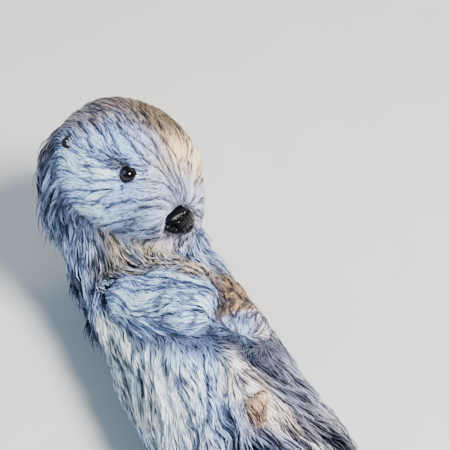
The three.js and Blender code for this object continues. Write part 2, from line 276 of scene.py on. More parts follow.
def node_arrays(node):
    """A CAD node's vertices, its shared corners merged, and its triangles."""
    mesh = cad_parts[node].data
    co = np.empty(len(mesh.vertices) * 3)
    mesh.vertices.foreach_get("co", co)
    mesh.calc_loop_triangles()
    tri = np.empty(len(mesh.loop_triangles) * 3, np.int32)
    mesh.loop_triangles.foreach_get("vertices", tri)
    key = np.round(co.reshape(-1, 3) * 1e6).astype(np.int64)
    _, first, back = np.unique(key, axis=0, return_index=True, return_inverse=True)
    return co.reshape(-1, 3)[first], back.reshape(-1)[tri].reshape(-1, 3)


def circle(count):
    """Angles spread evenly round a circle."""
    return np.linspace(0, 2 * np.pi, count, endpoint=False)


def spun(turn, across, up):
    """Directions at angles of turn, from across towards up."""
    return np.cos(turn)[..., None] * across + np.sin(turn)[..., None] * up


def middle(node):
    low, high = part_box(node)
    return np.array((low + high) / 2)


# ---------------------------------------------------------------- the animal's own axes


def head_axes(sizes):
    """Rows: forward, left and up of the head. The head is turned, then lifted, then tilted."""
    a, b, c = sizes.head_turn, -sizes.head_lift, -sizes.head_tilt
    turn = np.array([[math.cos(a), -math.sin(a), 0], [math.sin(a), math.cos(a), 0], [0, 0, 1]])
    lift = np.array([[math.cos(b), 0, math.sin(b)], [0, 1, 0], [-math.sin(b), 0, math.cos(b)]])
    tilt = np.array([[1, 0, 0], [0, math.cos(c), -math.sin(c)], [0, math.sin(c), math.cos(c)]])
    return (turn @ lift @ tilt).T


def head_centre(sizes):
    between = (middle("eye_right") + middle("eye_left")) / 2
    forward, _, up = sizes.eye_place
    return between - np.array([forward, 0, up]) @ head_axes(sizes)


def in_head(p, sizes):
    """Points as forward, left and up from the head's centre."""
    return (p - head_centre(sizes)) @ head_axes(sizes).T


def from_head(q, sizes):
    """The way back from the head's axes."""
    return np.asarray(q, float) @ head_axes(sizes) + head_centre(sizes)


def eye_spot(sizes, sign):
    """The centre of the eye on that side, in the head's axes."""
    return np.array(sizes.eye_place) * (1, sign, 1)


def nearest_cells(seeds, cell, reach):
    """A grid of cells round the seeds. Each cell within reach holds the index of about the nearest seed,
    or -1: the seeds mark their own cells, and each round hands an index on to the six cells beside it
    where it is nearer."""
    low = seeds.min(0) - cell * (reach + 1)
    count = np.ceil((seeds.max(0) - low) / cell).astype(int) + reach + 2
    nearest = np.full(count, -1, np.int32)
    away = np.full(count, 1e9, np.float32)
    ways = np.concatenate([np.eye(3, dtype=int), -np.eye(3, dtype=int)])
    fresh = np.round((seeds - low) / cell).astype(int)
    own = np.arange(len(seeds))
    for step in range(reach + 1):
        if step:
            at = np.concatenate([fresh + way for way in ways])
            own = np.tile(nearest[tuple(fresh.T)], 6)
            inside = ((at >= 0) & (at < count)).all(-1)
            fresh, own = at[inside], own[inside]
        d = (((low + fresh * cell) - seeds[own]) ** 2).sum(-1).astype(np.float32)
        better = d < away[tuple(fresh.T)] - 1e-12
        fresh, own, d = fresh[better], own[better], d[better]
        order = np.argsort(-d, kind="stable")
        fresh, own, d = fresh[order], own[order], d[order]
        at = tuple(fresh.T)
        away[at], nearest[at] = d, own
        fresh = np.unique(fresh, axis=0)
    return low, nearest


def flesh_shares(co, edges, rounds, sizes):
    """How much each vertex belongs to each node of flesh: all of it to the node whose surface is nearest,
    softened over the neighbours. The surfaces are sown with dots, about one to each square of that size."""
    dot, cell, reach = 0.002, 0.003, 6
    rng = np.random.default_rng(sizes.seed)
    dots, owner = [], []
    for n, node in enumerate(FLESH):
        c, t = node_arrays(node)
        a, b, d = (c[t[:, k]] for k in range(3))
        area = np.linalg.norm(np.cross(b - a, d - a), axis=-1) / 2
        pick = np.repeat(np.arange(len(t)), np.ceil(area / dot**2).astype(int))
        u, v = np.sqrt(rng.random((len(pick), 1))), rng.random((len(pick), 1))
        dots.append(a[pick] * (1 - u) + b[pick] * u * (1 - v) + d[pick] * u * v)
        owner.append(np.full(len(pick), n))
    dots, owner = np.concatenate(dots), np.concatenate(owner)
    low, nearest = nearest_cells(dots, cell, reach)
    at = np.clip(np.round((co - low) / cell).astype(int), 0, np.array(nearest.shape) - 1)
    shares = np.eye(len(FLESH))[owner[nearest[tuple(at.T)]]]
    return relaxed(shares, edges, rounds)


def named(shares):
    return {node: shares[:, n] for n, node in enumerate(FLESH)}


def both(near, *names):
    return sum(near[f"{n}_{side}"] for n in names for side, _ in SIDES)


def creases(near):
    """1 where two parts that only touch meet: an arm on the chest, a paw on a paw, a flipper on the
    body."""
    body = near["trunk"] + near["belly_fold"] + near["tail"]
    groups, loose = [near["head"], near["neck"] + body], []
    for side, _ in SIDES:
        groups.append(near[f"forearm_{side}"] + near[f"forepaw_{side}"] + near[f"upper_arm_{side}"])
        loose.append(1 - 0.9 * near[f"upper_arm_{side}"])
        groups.append(near[f"shank_{side}"] + near[f"flipper_{side}"] + near[f"thigh_{side}"])
        loose.append(0.8 - 0.7 * near[f"thigh_{side}"])
    total = 0.15 * groups[0] * groups[1]
    for n in range(2, len(groups)):
        total = total + 4 * groups[n] * sum(groups[:n]) * loose[n - 2]
    return np.clip(total, 0, 1)


def part_shares(near, p, sizes):
    """Soft shares of the coat's regions, which are those that OtterCoat has sizes for."""
    q = in_head(p, sizes)
    front = q[:, 0] + 0.35 * np.maximum(-q[:, 2], 0) - 0.25 * np.maximum(q[:, 2], 0)
    front = ease(front, 0.008, 0.050)
    return {
        "face": near["head"] * front,
        "crown": near["head"] * (1 - front),
        "neck": near["neck"],
        "body": near["trunk"],
        "arm": both(near, "upper_arm", "forearm"),
        "leg": both(near, "thigh", "shank") + near["tail"],
        "paw": both(near, "forepaw") + near["belly_fold"],
        "foot": both(near, "flipper"),
    }


def mane(q):
    """1 on the back and the lower sides of the head, where the wet neck coat hangs over it."""
    return ease(-q[:, 0] - q[:, 2], 0.004, 0.024)


def lie_of_coat(p, normal, near, sizes):
    """The way that the coat lies: away from the nose over the head, down the nape, and along each limb to
    its end. Each region's direction is weighed by how near the point is, and laid flat on the skin."""
    q = in_head(p, sizes)
    nose = np.array([0.094, 0.0, -0.012])
    away = unit(q - nose)
    cheek = ease(-q[:, 2], -0.045, -0.010) * ease(q[:, 0], -0.005, 0.035)
    away[:, 2] -= 0.70 * cheek * ease(np.abs(q[:, 1]), 0.01, 0.03)
    away[:, 1] += 0.25 * np.sign(q[:, 1]) * ease(-q[:, 0], -0.06, -0.01) * ease(-q[:, 2], -0.02, 0.03)
    hang = mane(q)[:, None]
    drop = np.sign(q[:, 1:2]) * np.array([0, 0.18, 0]) + np.array([-0.25, 0, -1.0])
    head = unit(away * (1 - hang) + drop * hang) @ head_axes(sizes)
    jaw = (ease(-q[:, 2], 0.022, 0.050) * ease(q[:, 0], -0.030, 0.020))[:, None]
    head = head * (1 - 0.6 * jaw) + jaw * np.array([0.55, -0.25, -0.6])
    flow = near["head"][:, None] * unit(head)
    side = np.sign(p[:, 1:2])
    along = side * np.array([0, 0.28, 0]) + np.array([1.0, 0, -0.18])
    flow = flow + (near["trunk"] + near["belly_fold"])[:, None] * unit(along)
    nape = ease(-p[:, :1], 0.375, 0.430)
    down = np.array([1.0, 0, -0.30]) * (1 - nape) + np.array([0.25, 0, -1.0]) * nape
    flow = flow + near["neck"][:, None] * unit(down + side * np.array([0, 0.16, 0]))
    fan = mound(p, (-0.328, -0.025, 0.120), (0.036, 0.036, 0.050)) * (near["neck"] + near["trunk"])
    flow = flow * (1 - fan[:, None]) + fan[:, None] * unit(p - np.array([-0.362, -0.020, 0.150]))
    flow = flow + near["tail"][:, None] * np.array([1.0, 0, 0])
    for chain in CHAINS:
        heart = [middle(n) for n in chain]
        ways = (heart[1] - heart[0], heart[2] - heart[0], heart[2] - heart[1])
        for node, way in zip(chain, ways):
            flow = flow + near[node][:, None] * unit(way)
    flow = flow - (flow * normal).sum(-1, keepdims=True) * normal
    return unit(flow)


# Spots of colour about the left eye: place from its centre, reach, share, colour and strength.
EYE_SPOTS = [
    # The first two spots, dark slate above and behind the eye, are painted shade under the brow.
    ((-0.003, 0.003, 0.0115), (0.0145, 0.014, 0.0040), 0.90, "slate", 0.20),
    ((-0.009, 0.006, 0.0055), (0.0055, 0.012, 0.0055), 0.85, "slate", 0.20),
    ((-0.0125, 0.010, -0.0045), (0.0085, 0.012, 0.0042), 0.95, "silver", 1.8),
    ((0.012, -0.006, -0.006), (0.0100, 0.009, 0.0034), 0.55, "slate", 0.30),
    ((0.0, 0.0, 0.0), (0.0098, 0.0098, 0.0098), 0.90, "bare", 0.80),
]
# Centres and reaches of the straw stain under the chin.
STAINS = [
    ((-0.352, -0.030, 0.126), (0.022, 0.018, 0.030)),
    ((-0.333, -0.004, 0.130), (0.018, 0.020, 0.030)),
    ((-0.308, 0.004, 0.122), (0.012, 0.010, 0.020)),
]
# Painted shadows: centre, reach and how much darker, on both sides of the head, on the head and on the
# trunk.
PAIRED_PAINTED_SHADOWS = [
    ((0.080, 0.034, -0.012), (0.026, 0.020, 0.022), 0.40),
    ((-0.015, 0.050, 0.038), (0.024, 0.020, 0.022), 0.38),
]
HEAD_PAINTED_SHADOWS = [
    ((0.034, -0.036, 0.042), (0.026, 0.020, 0.020), 0.28),
    ((0.066, -0.016, 0.030), (0.022, 0.022, 0.022), 0.36),
    ((0.038, -0.004, 0.058), (0.022, 0.016, 0.020), 0.32),
]
TRUNK_PAINTED_SHADOWS = [
    ((-0.182, 0.028, 0.134), (0.042, 0.014, 0.036), 0.72),
    ((-0.084, -0.024, 0.130), (0.040, 0.028, 0.040), 0.38),
    ((-0.067, 0.019, 0.125), (0.040, 0.030, 0.040), 0.18),
]


def head_markings(lay, p, near, c, broken, fine, sizes):
    """A taupe crown, a cream left side that is painted warm light, a grey bridge, nape and throat, dark
    seams of painted shade in the folds behind the jaw and at the ears, grey pads under the whiskers, marks
    about the eyes with painted shade under the brows, and a straw stain on the throat."""
    q = in_head(p, sizes)
    head, neck = near["head"], near["neck"]
    lay(head * ease(q[:, 2] - 0.45 * q[:, 0] + 0.02 * broken, 0.014, 0.052) * 0.92, c["taupe"] * 1.75)
    # Painted warm light: cream on the head's left side, where the warm light falls, darker towards the crown
    # and fading on the mane and behind.
    warm = ease(q[:, 1] + 0.028 - 0.14 * q[:, 0] + 0.024 * broken, -0.022, 0.018)
    warm = warm * (0.40 + 0.60 * ease(q[:, 2], 0.0, 0.03)) * (1 - 0.8 * mane(q))
    tan = c["cream"] * (1 - 0.82 * ease(q[:, 2] - 0.3 * q[:, 0], 0.012, 0.042))[:, None]
    lay(head * warm * (1 - 0.75 * ease(-q[:, 0] + 0.03 * broken, 0.0, 0.055)), tan)
    lay(head * mound(q, (0.078, -0.004, 0.010), (0.020, 0.015, 0.018)) * 0.65, c["slate"] * 1.1)
    lay(head * mane(q) * 0.30, c["slate"] * 1.1)
    lay(neck * (0.30 + 0.35 * ease(-p[:, 2], -0.10, -0.03)), c["slate"] * 1.1)
    lay(neck * ease(p[:, 1], 0.0, 0.03) * ease(p[:, 2], 0.08, 0.11) * 0.6, c["silver"] * 1.1)
    # Painted shade in the fold where the neck coat hangs over the back and lower sides of the head, behind
    # the jaw and at the ears.
    painted_fold_shade = np.exp(-(((q[:, 0] + q[:, 2] + 0.008) / 0.0055) ** 2)) * ease(np.abs(q[:, 1]), 0.040, 0.055)
    lay(head * painted_fold_shade * 0.80, c["slate"] * 0.15)
    stain = sum(mound(p, place, reach) for place, reach in STAINS) * (0.9 + 1.2 * fine)
    lay((1 - both(near, "forearm", "forepaw")) * np.clip(stain, 0, 0.9), c["straw"])
    for _, sign in SIDES:
        lay(head * mound(q, (0.078, sign * 0.030, -0.012), (0.026, 0.020, 0.022)) * 0.80, c["slate"] * 0.85)
    for _, sign in SIDES:
        notch = mound(q, (-0.014, sign * 0.064, 0.002), (0.007, 0.02, 0.010))
        lay((head + neck) * notch * 0.9, c["slate"] * 0.12)
        ear = mound(q, (-0.020, sign * 0.063, 0.013), (0.0095, 0.016, 0.0085))
        lay(head * ear * 0.97, c["slate"] * 0.08)
        # Spots about each eye; the dark slate ones above it are painted shade under the brow.
        for place, reach, share, name, strength in EYE_SPOTS:
            spot = eye_spot(sizes, sign) + np.array(place) * (1, sign, 1)
            lay(head * mound(q, spot, reach) * share, c[name] * strength)


def trunk_markings(lay, p, near, c, broken):
    """A grey belly with a pale right flank brightened as painted light, painted shadow under the crossed
    forearms, a white fold of skin edged with tan, and a brown back and rump."""
    trunk, neck = near["trunk"] + near["belly_fold"], near["neck"]
    belly = (0.20 + 0.35 * ease(p[:, 0], -0.20, 0.05)) * (1 - 0.8 * ease(-p[:, 1], 0.02, 0.06))
    lay(trunk * belly, c["slate"] * 1.15)
    lay(trunk * ease(p[:, 1] + 0.02 * broken, 0.010, 0.045) * 0.75, c["taupe"] * 1.15)
    # Darker grey low on the belly, where the trunk's table of painted shadows also darkens it.
    lay(trunk * mound(p, (-0.085, -0.020, 0.130), (0.040, 0.030, 0.040)) * 0.55, c["slate"] * 0.7)
    # Painted shadow on the belly under the crossed forearms.
    lay(trunk * mound(p, (-0.160, 0.027, 0.128), (0.030, 0.018, 0.035)) * 0.9, c["slate"] * 0.32)
    behind = ease(p[:, 0] + 0.05 * broken, -0.21, 0.00)
    # The pale right flank: the pale coat, brightened beyond silver as painted light.
    pale = ease(-p[:, 1] + 0.02 * broken, 0.015, 0.065) * ease(p[:, 2] + 0.03 * broken, 0.035, 0.090)
    lay(trunk * pale * (1 - behind), c["silver"] * (1.9, 1.6, 1.04))
    lay(trunk * behind * 0.55, c["taupe"] * 1.4)
    lay((trunk + neck) * ease(-p[:, 2] + 0.03 * broken, -0.085, -0.035) * 0.6, c["taupe"] * 1.3)
    lay(trunk * belly_ridge(p - np.array([0, 0.008, 0])) * 0.7, c["cream"] * (0.62, 0.55, 0.42))
    lay(trunk * belly_ridge(p), c["cream"] * (1.3, 1.75, 2.7))
    lay(near["belly_fold"] * 0.9, c["cream"] * (0.46, 0.41, 0.36))
    low = ease(-p[:, 2] + 0.02 * broken, -0.062, -0.015)
    lay((trunk + 0.8 * neck) * low, c["brown"] * 1.2)
    lay(trunk * ease(p[:, 0], 0.02, 0.17) * 0.55, c["brown"] * 1.6)


def limb_markings(lay, p, near, c, broken):
    """Brown legs and tail, bare flippers, a tan rim on the right forearm with a dark tip to its paw, a warm
    edge and a greyer underside on the left arm, painted shade in the dark gap between the two, and a painted
    shadow under the left paw."""
    lay(near["tail"] * 0.92, c["brown"])
    lay(both(near, "thigh") * 0.75, c["brown"] * 1.5)
    lay(both(near, "shank") * 0.9, c["brown"])
    lay(both(near, "flipper") * 0.97, c["bare"] * 0.6)
    paw, palm = middle("forepaw_right"), middle("forepaw_left")
    over, climb = p[:, 1] - paw[1], paw[0] - p[:, 0]
    rim = ease(0.30 * over + 0.75 * climb + 0.004 * broken, 0.012, 0.020) * ease(over, -0.016, 0.004)
    rim = np.maximum(rim, ease(0.95 * over - 0.1 * climb + 0.010 * broken, 0.016, 0.024))
    lay((near["forepaw_right"] + near["forearm_right"]) * rim * 0.85, c["brown"] * (6.0, 6.4, 5.2))
    tip = ease(0.95 * over - 0.1 * climb + 0.008 * broken, 0.013, 0.024)
    lay(near["forepaw_right"] * tip * 0.85, c["brown"] * (1.3, 1.1, 0.8))
    arm = near["forearm_left"] + near["forepaw_left"] + near["upper_arm_left"]
    upper = ease(palm[0] - p[:, 0] + 0.006 * broken, -0.004, 0.010)
    lay(arm * upper * 0.95, c["cream"] * (0.31, 0.25, 0.135))
    # Painted shade: near black in the gap between the crossed arms.
    gap = mound(p, (-0.220, 0.018, 0.150), (0.012, 0.008, 0.030))
    lay((arm + near["forepaw_right"] + near["forearm_right"]) * gap * 0.85, c["slate"] * 0.10)
    lay(arm * (1 - upper) * 0.55, c["slate"] * 1.1)
    lay(arm * (1 - upper) * ease(p[:, 1] - palm[1], 0.004, 0.020) * 0.4, c["cream"])
    # Painted shadow below the left paw.
    lay(arm * mound(p - palm, (0.016, -0.018, 0.010), (0.012, 0.012, 0.020)) * 0.9, c["slate"] * 0.10)


def painted_shade_factor(p, near, sizes):
    """Painted shade: 1 where the markings keep their full colour, and less on the mane, the throat and the
    painted shadows listed above."""
    q = in_head(p, sizes)
    head, trunk = near["head"], near["trunk"] + near["belly_fold"]
    left = 1 - 0.34 * head * mane(q) - 0.24 * near["neck"] * ease(-p[:, 1], -0.015, 0.015)
    for _, sign in SIDES:
        for place, reach, share in PAIRED_PAINTED_SHADOWS:
            left = left * (1 - share * head * mound(q, np.array(place) * (1, sign, 1), reach))
    for at, part, table in ((q, head, HEAD_PAINTED_SHADOWS), (p, trunk, TRUNK_PAINTED_SHADOWS)):
        for place, reach, share in table:
            left = left * (1 - share * part * mound(at, place, reach))
    return left


def markings(p, near, sizes, colours):
    """The coat's colour at each point, with painted light and shade in it. Soft regions are laid one over
    another on silver, each by its share. The sum is broken up by clouds, dimmed by painted shade, and greyed
    on the left flank and behind the head."""
    names = ("silver", "cream", "slate", "brown", "straw", "bare", "taupe")
    c = {name: np.array(getattr(colours, name)) for name in names}
    broken = cloud(p, 0.030, 3) - 0.5
    fine = cloud(p, 0.009, 4) - 0.5
    col = np.repeat(c["silver"][None], len(p), 0)

    def lay(share, colour):
        nonlocal col
        share = np.clip(share, 0, 1)[:, None]
        col = col * (1 - share) + np.asarray(colour) * share

    head_markings(lay, p, near, c, broken, fine, sizes)
    trunk_markings(lay, p, near, c, broken)
    limb_markings(lay, p, near, c, broken)
    # Painted shade dims the colour here; the clouds vary its tone at random.
    col = col * (painted_shade_factor(p, near, sizes) * (1 + 0.22 * broken + 0.18 * fine))[:, None]
    greyed = 0.65 * np.maximum(ease(-p[:, 0], 0.415, 0.450), ease(p[:, 1], 0.050, 0.090))[:, None]
    grey = (col @ np.array([0.3, 0.5, 0.2]))[:, None] * np.array([1.08, 0.98, 0.88])
    return np.clip(col * (1 - greyed) + greyed * grey, 0.004, 0.95)


# ---------------------------------------------------------------- materials


def material(name, roughness, colour=None, *, grain, coat=0.0, specular=0.5):
    """A surface whose colour is its own tint attribute or a plain colour, broken by fine noise in the
    object's own space, with a bump of the same grain: (size in metres, colour share, bump height in
    metres)."""
    made = bpy.data.materials.new(name)
    made.use_nodes = True
    nodes, links = made.node_tree.nodes, made.node_tree.links
    shader = nodes["Principled BSDF"]
    shader.inputs["Roughness"].default_value = roughness
    shader.inputs["Coat Weight"].default_value = coat
    shader.inputs["Coat Roughness"].default_value = 0.12
    shader.inputs["Specular IOR Level"].default_value = specular
    size, share, height = grain
    place = nodes.new("ShaderNodeTexCoord")
    noise = nodes.new("ShaderNodeTexNoise")
    noise.inputs["Scale"].default_value = 1.0 / size
    noise.inputs["Detail"].default_value = 3.0
    links.new(place.outputs["Object"], noise.inputs["Vector"])
    ramp = nodes.new("ShaderNodeMapRange")
    ramp.inputs["From Min"].default_value, ramp.inputs["From Max"].default_value = 0.3, 0.7
    ramp.inputs["To Min"].default_value, ramp.inputs["To Max"].default_value = 1 - share, 1 + share
    links.new(noise.outputs["Fac"], ramp.inputs["Value"])
    scale = nodes.new("ShaderNodeVectorMath")
    scale.operation = "SCALE"
    links.new(ramp.outputs["Result"], scale.inputs["Scale"])
    if colour is None:
        tint = nodes.new("ShaderNodeAttribute")
        tint.attribute_name = "tint"
        links.new(tint.outputs["Color"], scale.inputs[0])
    else:
        scale.inputs[0].default_value = tuple(colour)
    links.new(scale.outputs["Vector"], shader.inputs["Base Color"])
    if height:
        bump = nodes.new("ShaderNodeBump")
        bump.inputs["Distance"].default_value = height
        bump.inputs["Strength"].default_value = 0.6
        links.new(noise.outputs["Fac"], bump.inputs["Height"])
        links.new(bump.outputs["Normal"], shader.inputs["Normal"])
    return made


def dressed(piece, made, slot, *nodes):
    piece.data.materials.append(made)
    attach(piece, "root")
    if nodes:
        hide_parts(*nodes)
    return piece


# ---------------------------------------------------------------- fields near the skin


class Near:
    """What the coat needs to know near the skin, kept on a grid of cells and read by blending the eight
    around a point: the height above the skin, its normal, the lie of the coat, and any other numbers kept
    at its vertices."""

    CELL = 0.004

    def __init__(self, co, normal, lie, more):
        self.low, nearest = nearest_cells(co, self.CELL, 7)
        self.count = np.array(nearest.shape)
        known = nearest >= 0
        own = nearest[known]
        spot = self.low + np.stack(np.nonzero(known), -1) * self.CELL
        kept = np.concatenate([normal, lie, more], -1)
        self.values = np.zeros((*nearest.shape, kept.shape[1] + 2), np.float32)
        self.values[known, 0] = 1
        self.values[known, 1] = ((spot - co[own]) * normal[own]).sum(-1)
        self.values[known, 2:] = kept[own]
        for axis in range(3):
            v = self.values
            self.values = (np.roll(v, 1, axis) + 2 * v + np.roll(v, -1, axis)) / 4

    def read(self, p, last=None):
        at = np.clip((p - self.low) / self.CELL, 0, self.count - 1.001)
        low = np.floor(at).astype(int)
        part = at - low
        total = 0
        for corner in np.ndindex(2, 2, 2):
            c = np.array(corner)
            share = np.prod(np.where(c, part, 1 - part), -1)
            total = total + share[:, None] * self.values[tuple((low + c).T)][:, :last]
        return total / np.maximum(total[:, :1], 1e-3)

    def __call__(self, p):
        """Height above the skin, normal and lie at the points."""
        total = self.read(p, 8)
        normal = unit(total[:, 2:5])
        lie = total[:, 5:8]
        return total[:, 1], normal, unit(lie - (lie * normal).sum(-1, keepdims=True) * normal)

    def more(self, p):
        return self.read(p)[:, 8:]


# What the skin's operator leaves for the others: the skin's arrays and the fields near it.
made = {}


# ---------------------------------------------------------------- skin


def skin_arrays(sizes):
    """The flesh's solids, each swelled a little so that they run into each other, then wrapped in one net
    of even faces, smoothed, and sunk back by the swelling and by the coat's own depth at each place."""
    co, tri, start = [], [], 0
    for node in FLESH:
        c, t = node_arrays(node)
        co.append(c + normals_of(c, t) * sizes.closing)
        tri.append(t + start)
        start += len(c)
    co, tri = np.concatenate(co), np.concatenate(tri)
    rough = mesh_piece("skin_rough", co, tri.ravel(), np.full(len(tri), 3))
    wrap = rough.modifiers.new("wrap", "REMESH")
    wrap.mode = "VOXEL"
    wrap.voxel_size = sizes.skin_cell
    evaluated = rough.evaluated_get(bpy.context.evaluated_depsgraph_get())
    net = evaluated.to_mesh()
    co = np.empty(len(net.vertices) * 3)
    net.vertices.foreach_get("co", co)
    edges = np.empty(len(net.edges) * 2, np.int32)
    net.edges.foreach_get("vertices", edges)
    loops = np.empty(len(net.loops), np.int32)
    net.loops.foreach_get("vertex_index", loops)
    totals = np.empty(len(net.polygons), np.int32)
    net.polygons.foreach_get("loop_total", totals)
    net.calc_loop_triangles()
    tri = np.empty(len(net.loop_triangles) * 3, np.int32)
    net.loop_triangles.foreach_get("vertices", tri)
    evaluated.to_mesh_clear()
    bpy.data.objects.remove(rough)
    return co.reshape(-1, 3), edges.reshape(-1, 2), loops, totals, tri.reshape(-1, 3)


# The course of the belly's fold, seen from above, in metres.
RIDGE = np.array([
    [-0.187, 0.008], [-0.151, 0.000], [-0.133, 0.001], [-0.113, 0.008], [-0.085, 0.016], [-0.050, 0.026],
])


def belly_ridge(p):
    """1 along the fold of loose skin that stands on the belly, seen from above, and 0 away from it."""
    far = np.full(len(p), 9.0)
    for a, b in zip(RIDGE[:-1], RIDGE[1:]):
        share = np.clip(((p[:, :2] - a) @ (b - a)) / ((b - a) @ (b - a)), 0, 1)[:, None]
        far = np.minimum(far, np.linalg.norm(p[:, :2] - a - share * (b - a), axis=-1))
    ridge = np.exp(-((far / 0.0085) ** 2)) * ease(p[:, 2], 0.09, 0.12)
    return ridge * (1 - 0.6 * ease(p[:, 0], -0.10, -0.06))


def mouth_line(q):
    """How far each point, in the head's axes, is from the line of the mouth: two curves back from under
    the nose."""
    s = np.linspace(0, 1, 24)[:, None]
    line = np.concatenate([0.089 - 0.036 * s**1.25, 0.040 * np.sin(1.45 * s), -0.033 - 0.020 * s**1.3], -1)
    near = (np.abs(q[:, 0] - 0.07) < 0.04) & (q[:, 2] < 0.0)
    far = np.full(len(q), 1.0)
    some = q[near] * np.array([1, 0, 1]) + np.abs(q[near]) * np.array([0, 1, 0])
    far[near] = np.sqrt(((some[:, None] - line[None]) ** 2).sum(-1).min(-1))
    return far


# Forms of the left side of the face: centre, radii and push, in the head's axes.
FACE_FORMS = [
    ((0.082, 0.019, -0.021), (0.013, 0.013, 0.011), (0.0022, 0.0018, 0.0)),
    ((0.050, 0.041, 0.032), (0.016, 0.012, 0.007), (0.0006, 0.0012, 0.0014)),
    ((0.036, 0.050, 0.010), (0.012, 0.014, 0.010), (0.0, -0.0014, 0.0)),
    ((0.040, 0.050, -0.024), (0.020, 0.016, 0.015), (0.0, 0.0010, -0.0006)),
    ((0.056, 0.046, 0.000), (0.026, 0.020, 0.030), (0.0, -0.0022, 0.0)),
]


def carved(co, sizes):
    """The face's own forms, pushed into the skin: pads under the whiskers, brows, chin, the sockets of the
    eyes, the line of the mouth and the groove under the nose."""
    q = in_head(co, sizes)
    out = q.copy()
    for _, sign in SIDES:
        for place, radii, push in FACE_FORMS:
            m = mound(q, np.array(place) * (1, sign, 1), radii)[:, None]
            out += m * np.array(push) * (1, sign, 1)
    out += mound(q, (0.078, 0, -0.046), (0.014, 0.016, 0.008))[:, None] * np.array([0.0020, 0, -0.0012])
    out -= np.exp(-((mouth_line(q) / 0.0032) ** 2))[:, None] * np.array([0.0022, 0, -0.0016])
    for _, sign in SIDES:
        eye = eye_spot(sizes, sign)
        way, _, _ = eye_axes(sign)
        d = out - eye
        depth = d @ way
        ring = np.linalg.norm(d - depth[:, None] * way, axis=-1)
        on_face = ease(depth, -0.012, -0.004)
        sink = on_face * (1 - ease(ring, 0.0045, 0.0078))
        out += (sink * np.minimum(0, 0.001 - depth))[:, None] * way
        dip = on_face * np.exp(-(((ring - 0.0105) / 0.003) ** 2)) * 0.0010
        out -= dip[:, None] * way
    return from_head(out, sizes)


class OTTER_OT_skin(bpy.types.Operator):
    """One skin under the coat, from the nose to the flippers"""

    bl_idname = "otter.skin"
    bl_label = "Skin"

    def execute(self, context):
        sizes, colours = context.scene.otter_sizes, context.scene.otter_colours
        co, edges, loops, totals, tri = skin_arrays(sizes)
        shares = flesh_shares(co, edges, 5, sizes)
        near = named(shares)
        thin = both(near, "flipper")
        fold = creases(near)
        co = relaxed(co, edges, 5, 0.5 * (1 - 0.8 * thin))
        normal = unit(relaxed(normals_of(co, tri), edges, 6))
        parts = part_shares(near, co, sizes)
        depth = (
            parts["face"] * sizes.depth_face
            + parts["crown"] * sizes.depth_head
            + (parts["neck"] + parts["body"]) * sizes.depth_body
            + (parts["arm"] + parts["leg"]) * sizes.depth_limb
            + parts["paw"] * sizes.depth_face
            + parts["foot"] * sizes.depth_foot
        )
        end = ease(co[:, 0], 0.43, 0.47) * near["tail"]
        depth = depth * (1 - 0.5 * end)
        flat = ease(-co[:, 2], -0.006, 0.004)
        depth = depth * (1 - flat) + sizes.depth_floor * flat
        depth = relaxed(depth[:, None], edges, 5)[:, 0]
        co = co - normal * (sizes.closing + depth + sizes.fold_depth * fold)[:, None]
        co = relaxed(co, edges, 2, 0.5 * (1 - 0.8 * thin))
        jaw = relaxed((near["head"] * near["neck"])[:, None], edges, 14)[:, 0]
        front = 1 - ease(-in_head(co, sizes)[:, 0], 0.0, 0.04)
        co = relaxed(co, edges, 40, 0.5 * ease(jaw, 0.004, 0.05) * front)
        co = carved(co, sizes)
        co[:, 2] += sizes.ridge_height * belly_ridge(co) * near["trunk"]
        co[:, 2] = np.maximum(co[:, 2], 0.0012)
        normal = normals_of(co, tri)
        lie = lie_of_coat(co, normal, near, sizes)
        for _ in range(4):
            lie = relaxed(lie, edges, 3)
            lie = unit(lie - (lie * normal).sum(-1, keepdims=True) * normal)
        sway = sizes.waviness * ((cloud(co, 0.011, 71) + 0.6 * cloud(co, 0.026, 72)) / 1.6 - 0.5)[:, None]
        lie = lie * np.cos(sway) + np.cross(normal, lie) * np.sin(sway)
        # Painted shade: the coat's colour is darker in the creases.
        tint = markings(co, near, sizes, colours) * (1 - 0.6 * fold)[:, None]
        parts = part_shares(near, co, sizes)
        # The skin is painted dark, but for the flippers: the wet underfur, and the painted shade between the
        # locks.
        shade = 0.22 + 0.14 * parts["face"] + 0.78 * parts["foot"]
        piece = mesh_piece("skin", co, loops, totals, tint * shade[:, None])
        finish = material("wet_underfur", 0.6, grain=(0.0012, 0.25, 0.0006))
        dressed(piece, finish, "coat_body", *FLESH)
        even = unit(relaxed(normal, edges, 2))
        # The crease, widened, goes to the locks: it shortens them and paints crease shade on them.
        fold = np.clip(1.8 * relaxed(fold[:, None], edges, 3)[:, 0], 0, 1)
        kept = np.concatenate([shares, fold[:, None]], -1)
        made.update(co=co, tri=tri, parts=parts, kept=kept, near=Near(co, even, lie, kept))
        return {"FINISHED"}


# ---------------------------------------------------------------- face


def eye_axes(sign):
    """Outward, the eye's own sideways and its own up, in the head's axes."""
    way = unit(np.array([0.50, 0.84 * sign, 0.20]))
    up = unit(np.array([0, 0, 1.0]) - way * way[2])
    return way, np.cross(up, way), up


# A lid's section, from the fur to the ball: distance from the eye's axis and height, in radii of the ball.
LID = np.array([
    [1.30, -0.20], [1.20, 0.12], [1.12, 0.30], [1.05, 0.40],
    [1.00, 0.43], [0.96, 0.41], [0.93, 0.36], [0.90, 0.28],
])


def ball_grid(eye, sign, sizes):
    """An eyeball as rings about its outward axis: a sphere whose front bulges by a bell curve."""
    way, across, up = eye_axes(sign)
    turn, fall = np.meshgrid(circle(48), np.linspace(0, np.pi, 25))
    bulge = 1 + 0.06 * np.exp(-((fall / 0.55) ** 2))
    ball = np.sin(fall)[..., None] * spun(turn, across, up) + (np.cos(fall) * bulge)[..., None] * way
    return from_head(eye + sizes.eye_radius * ball, sizes)


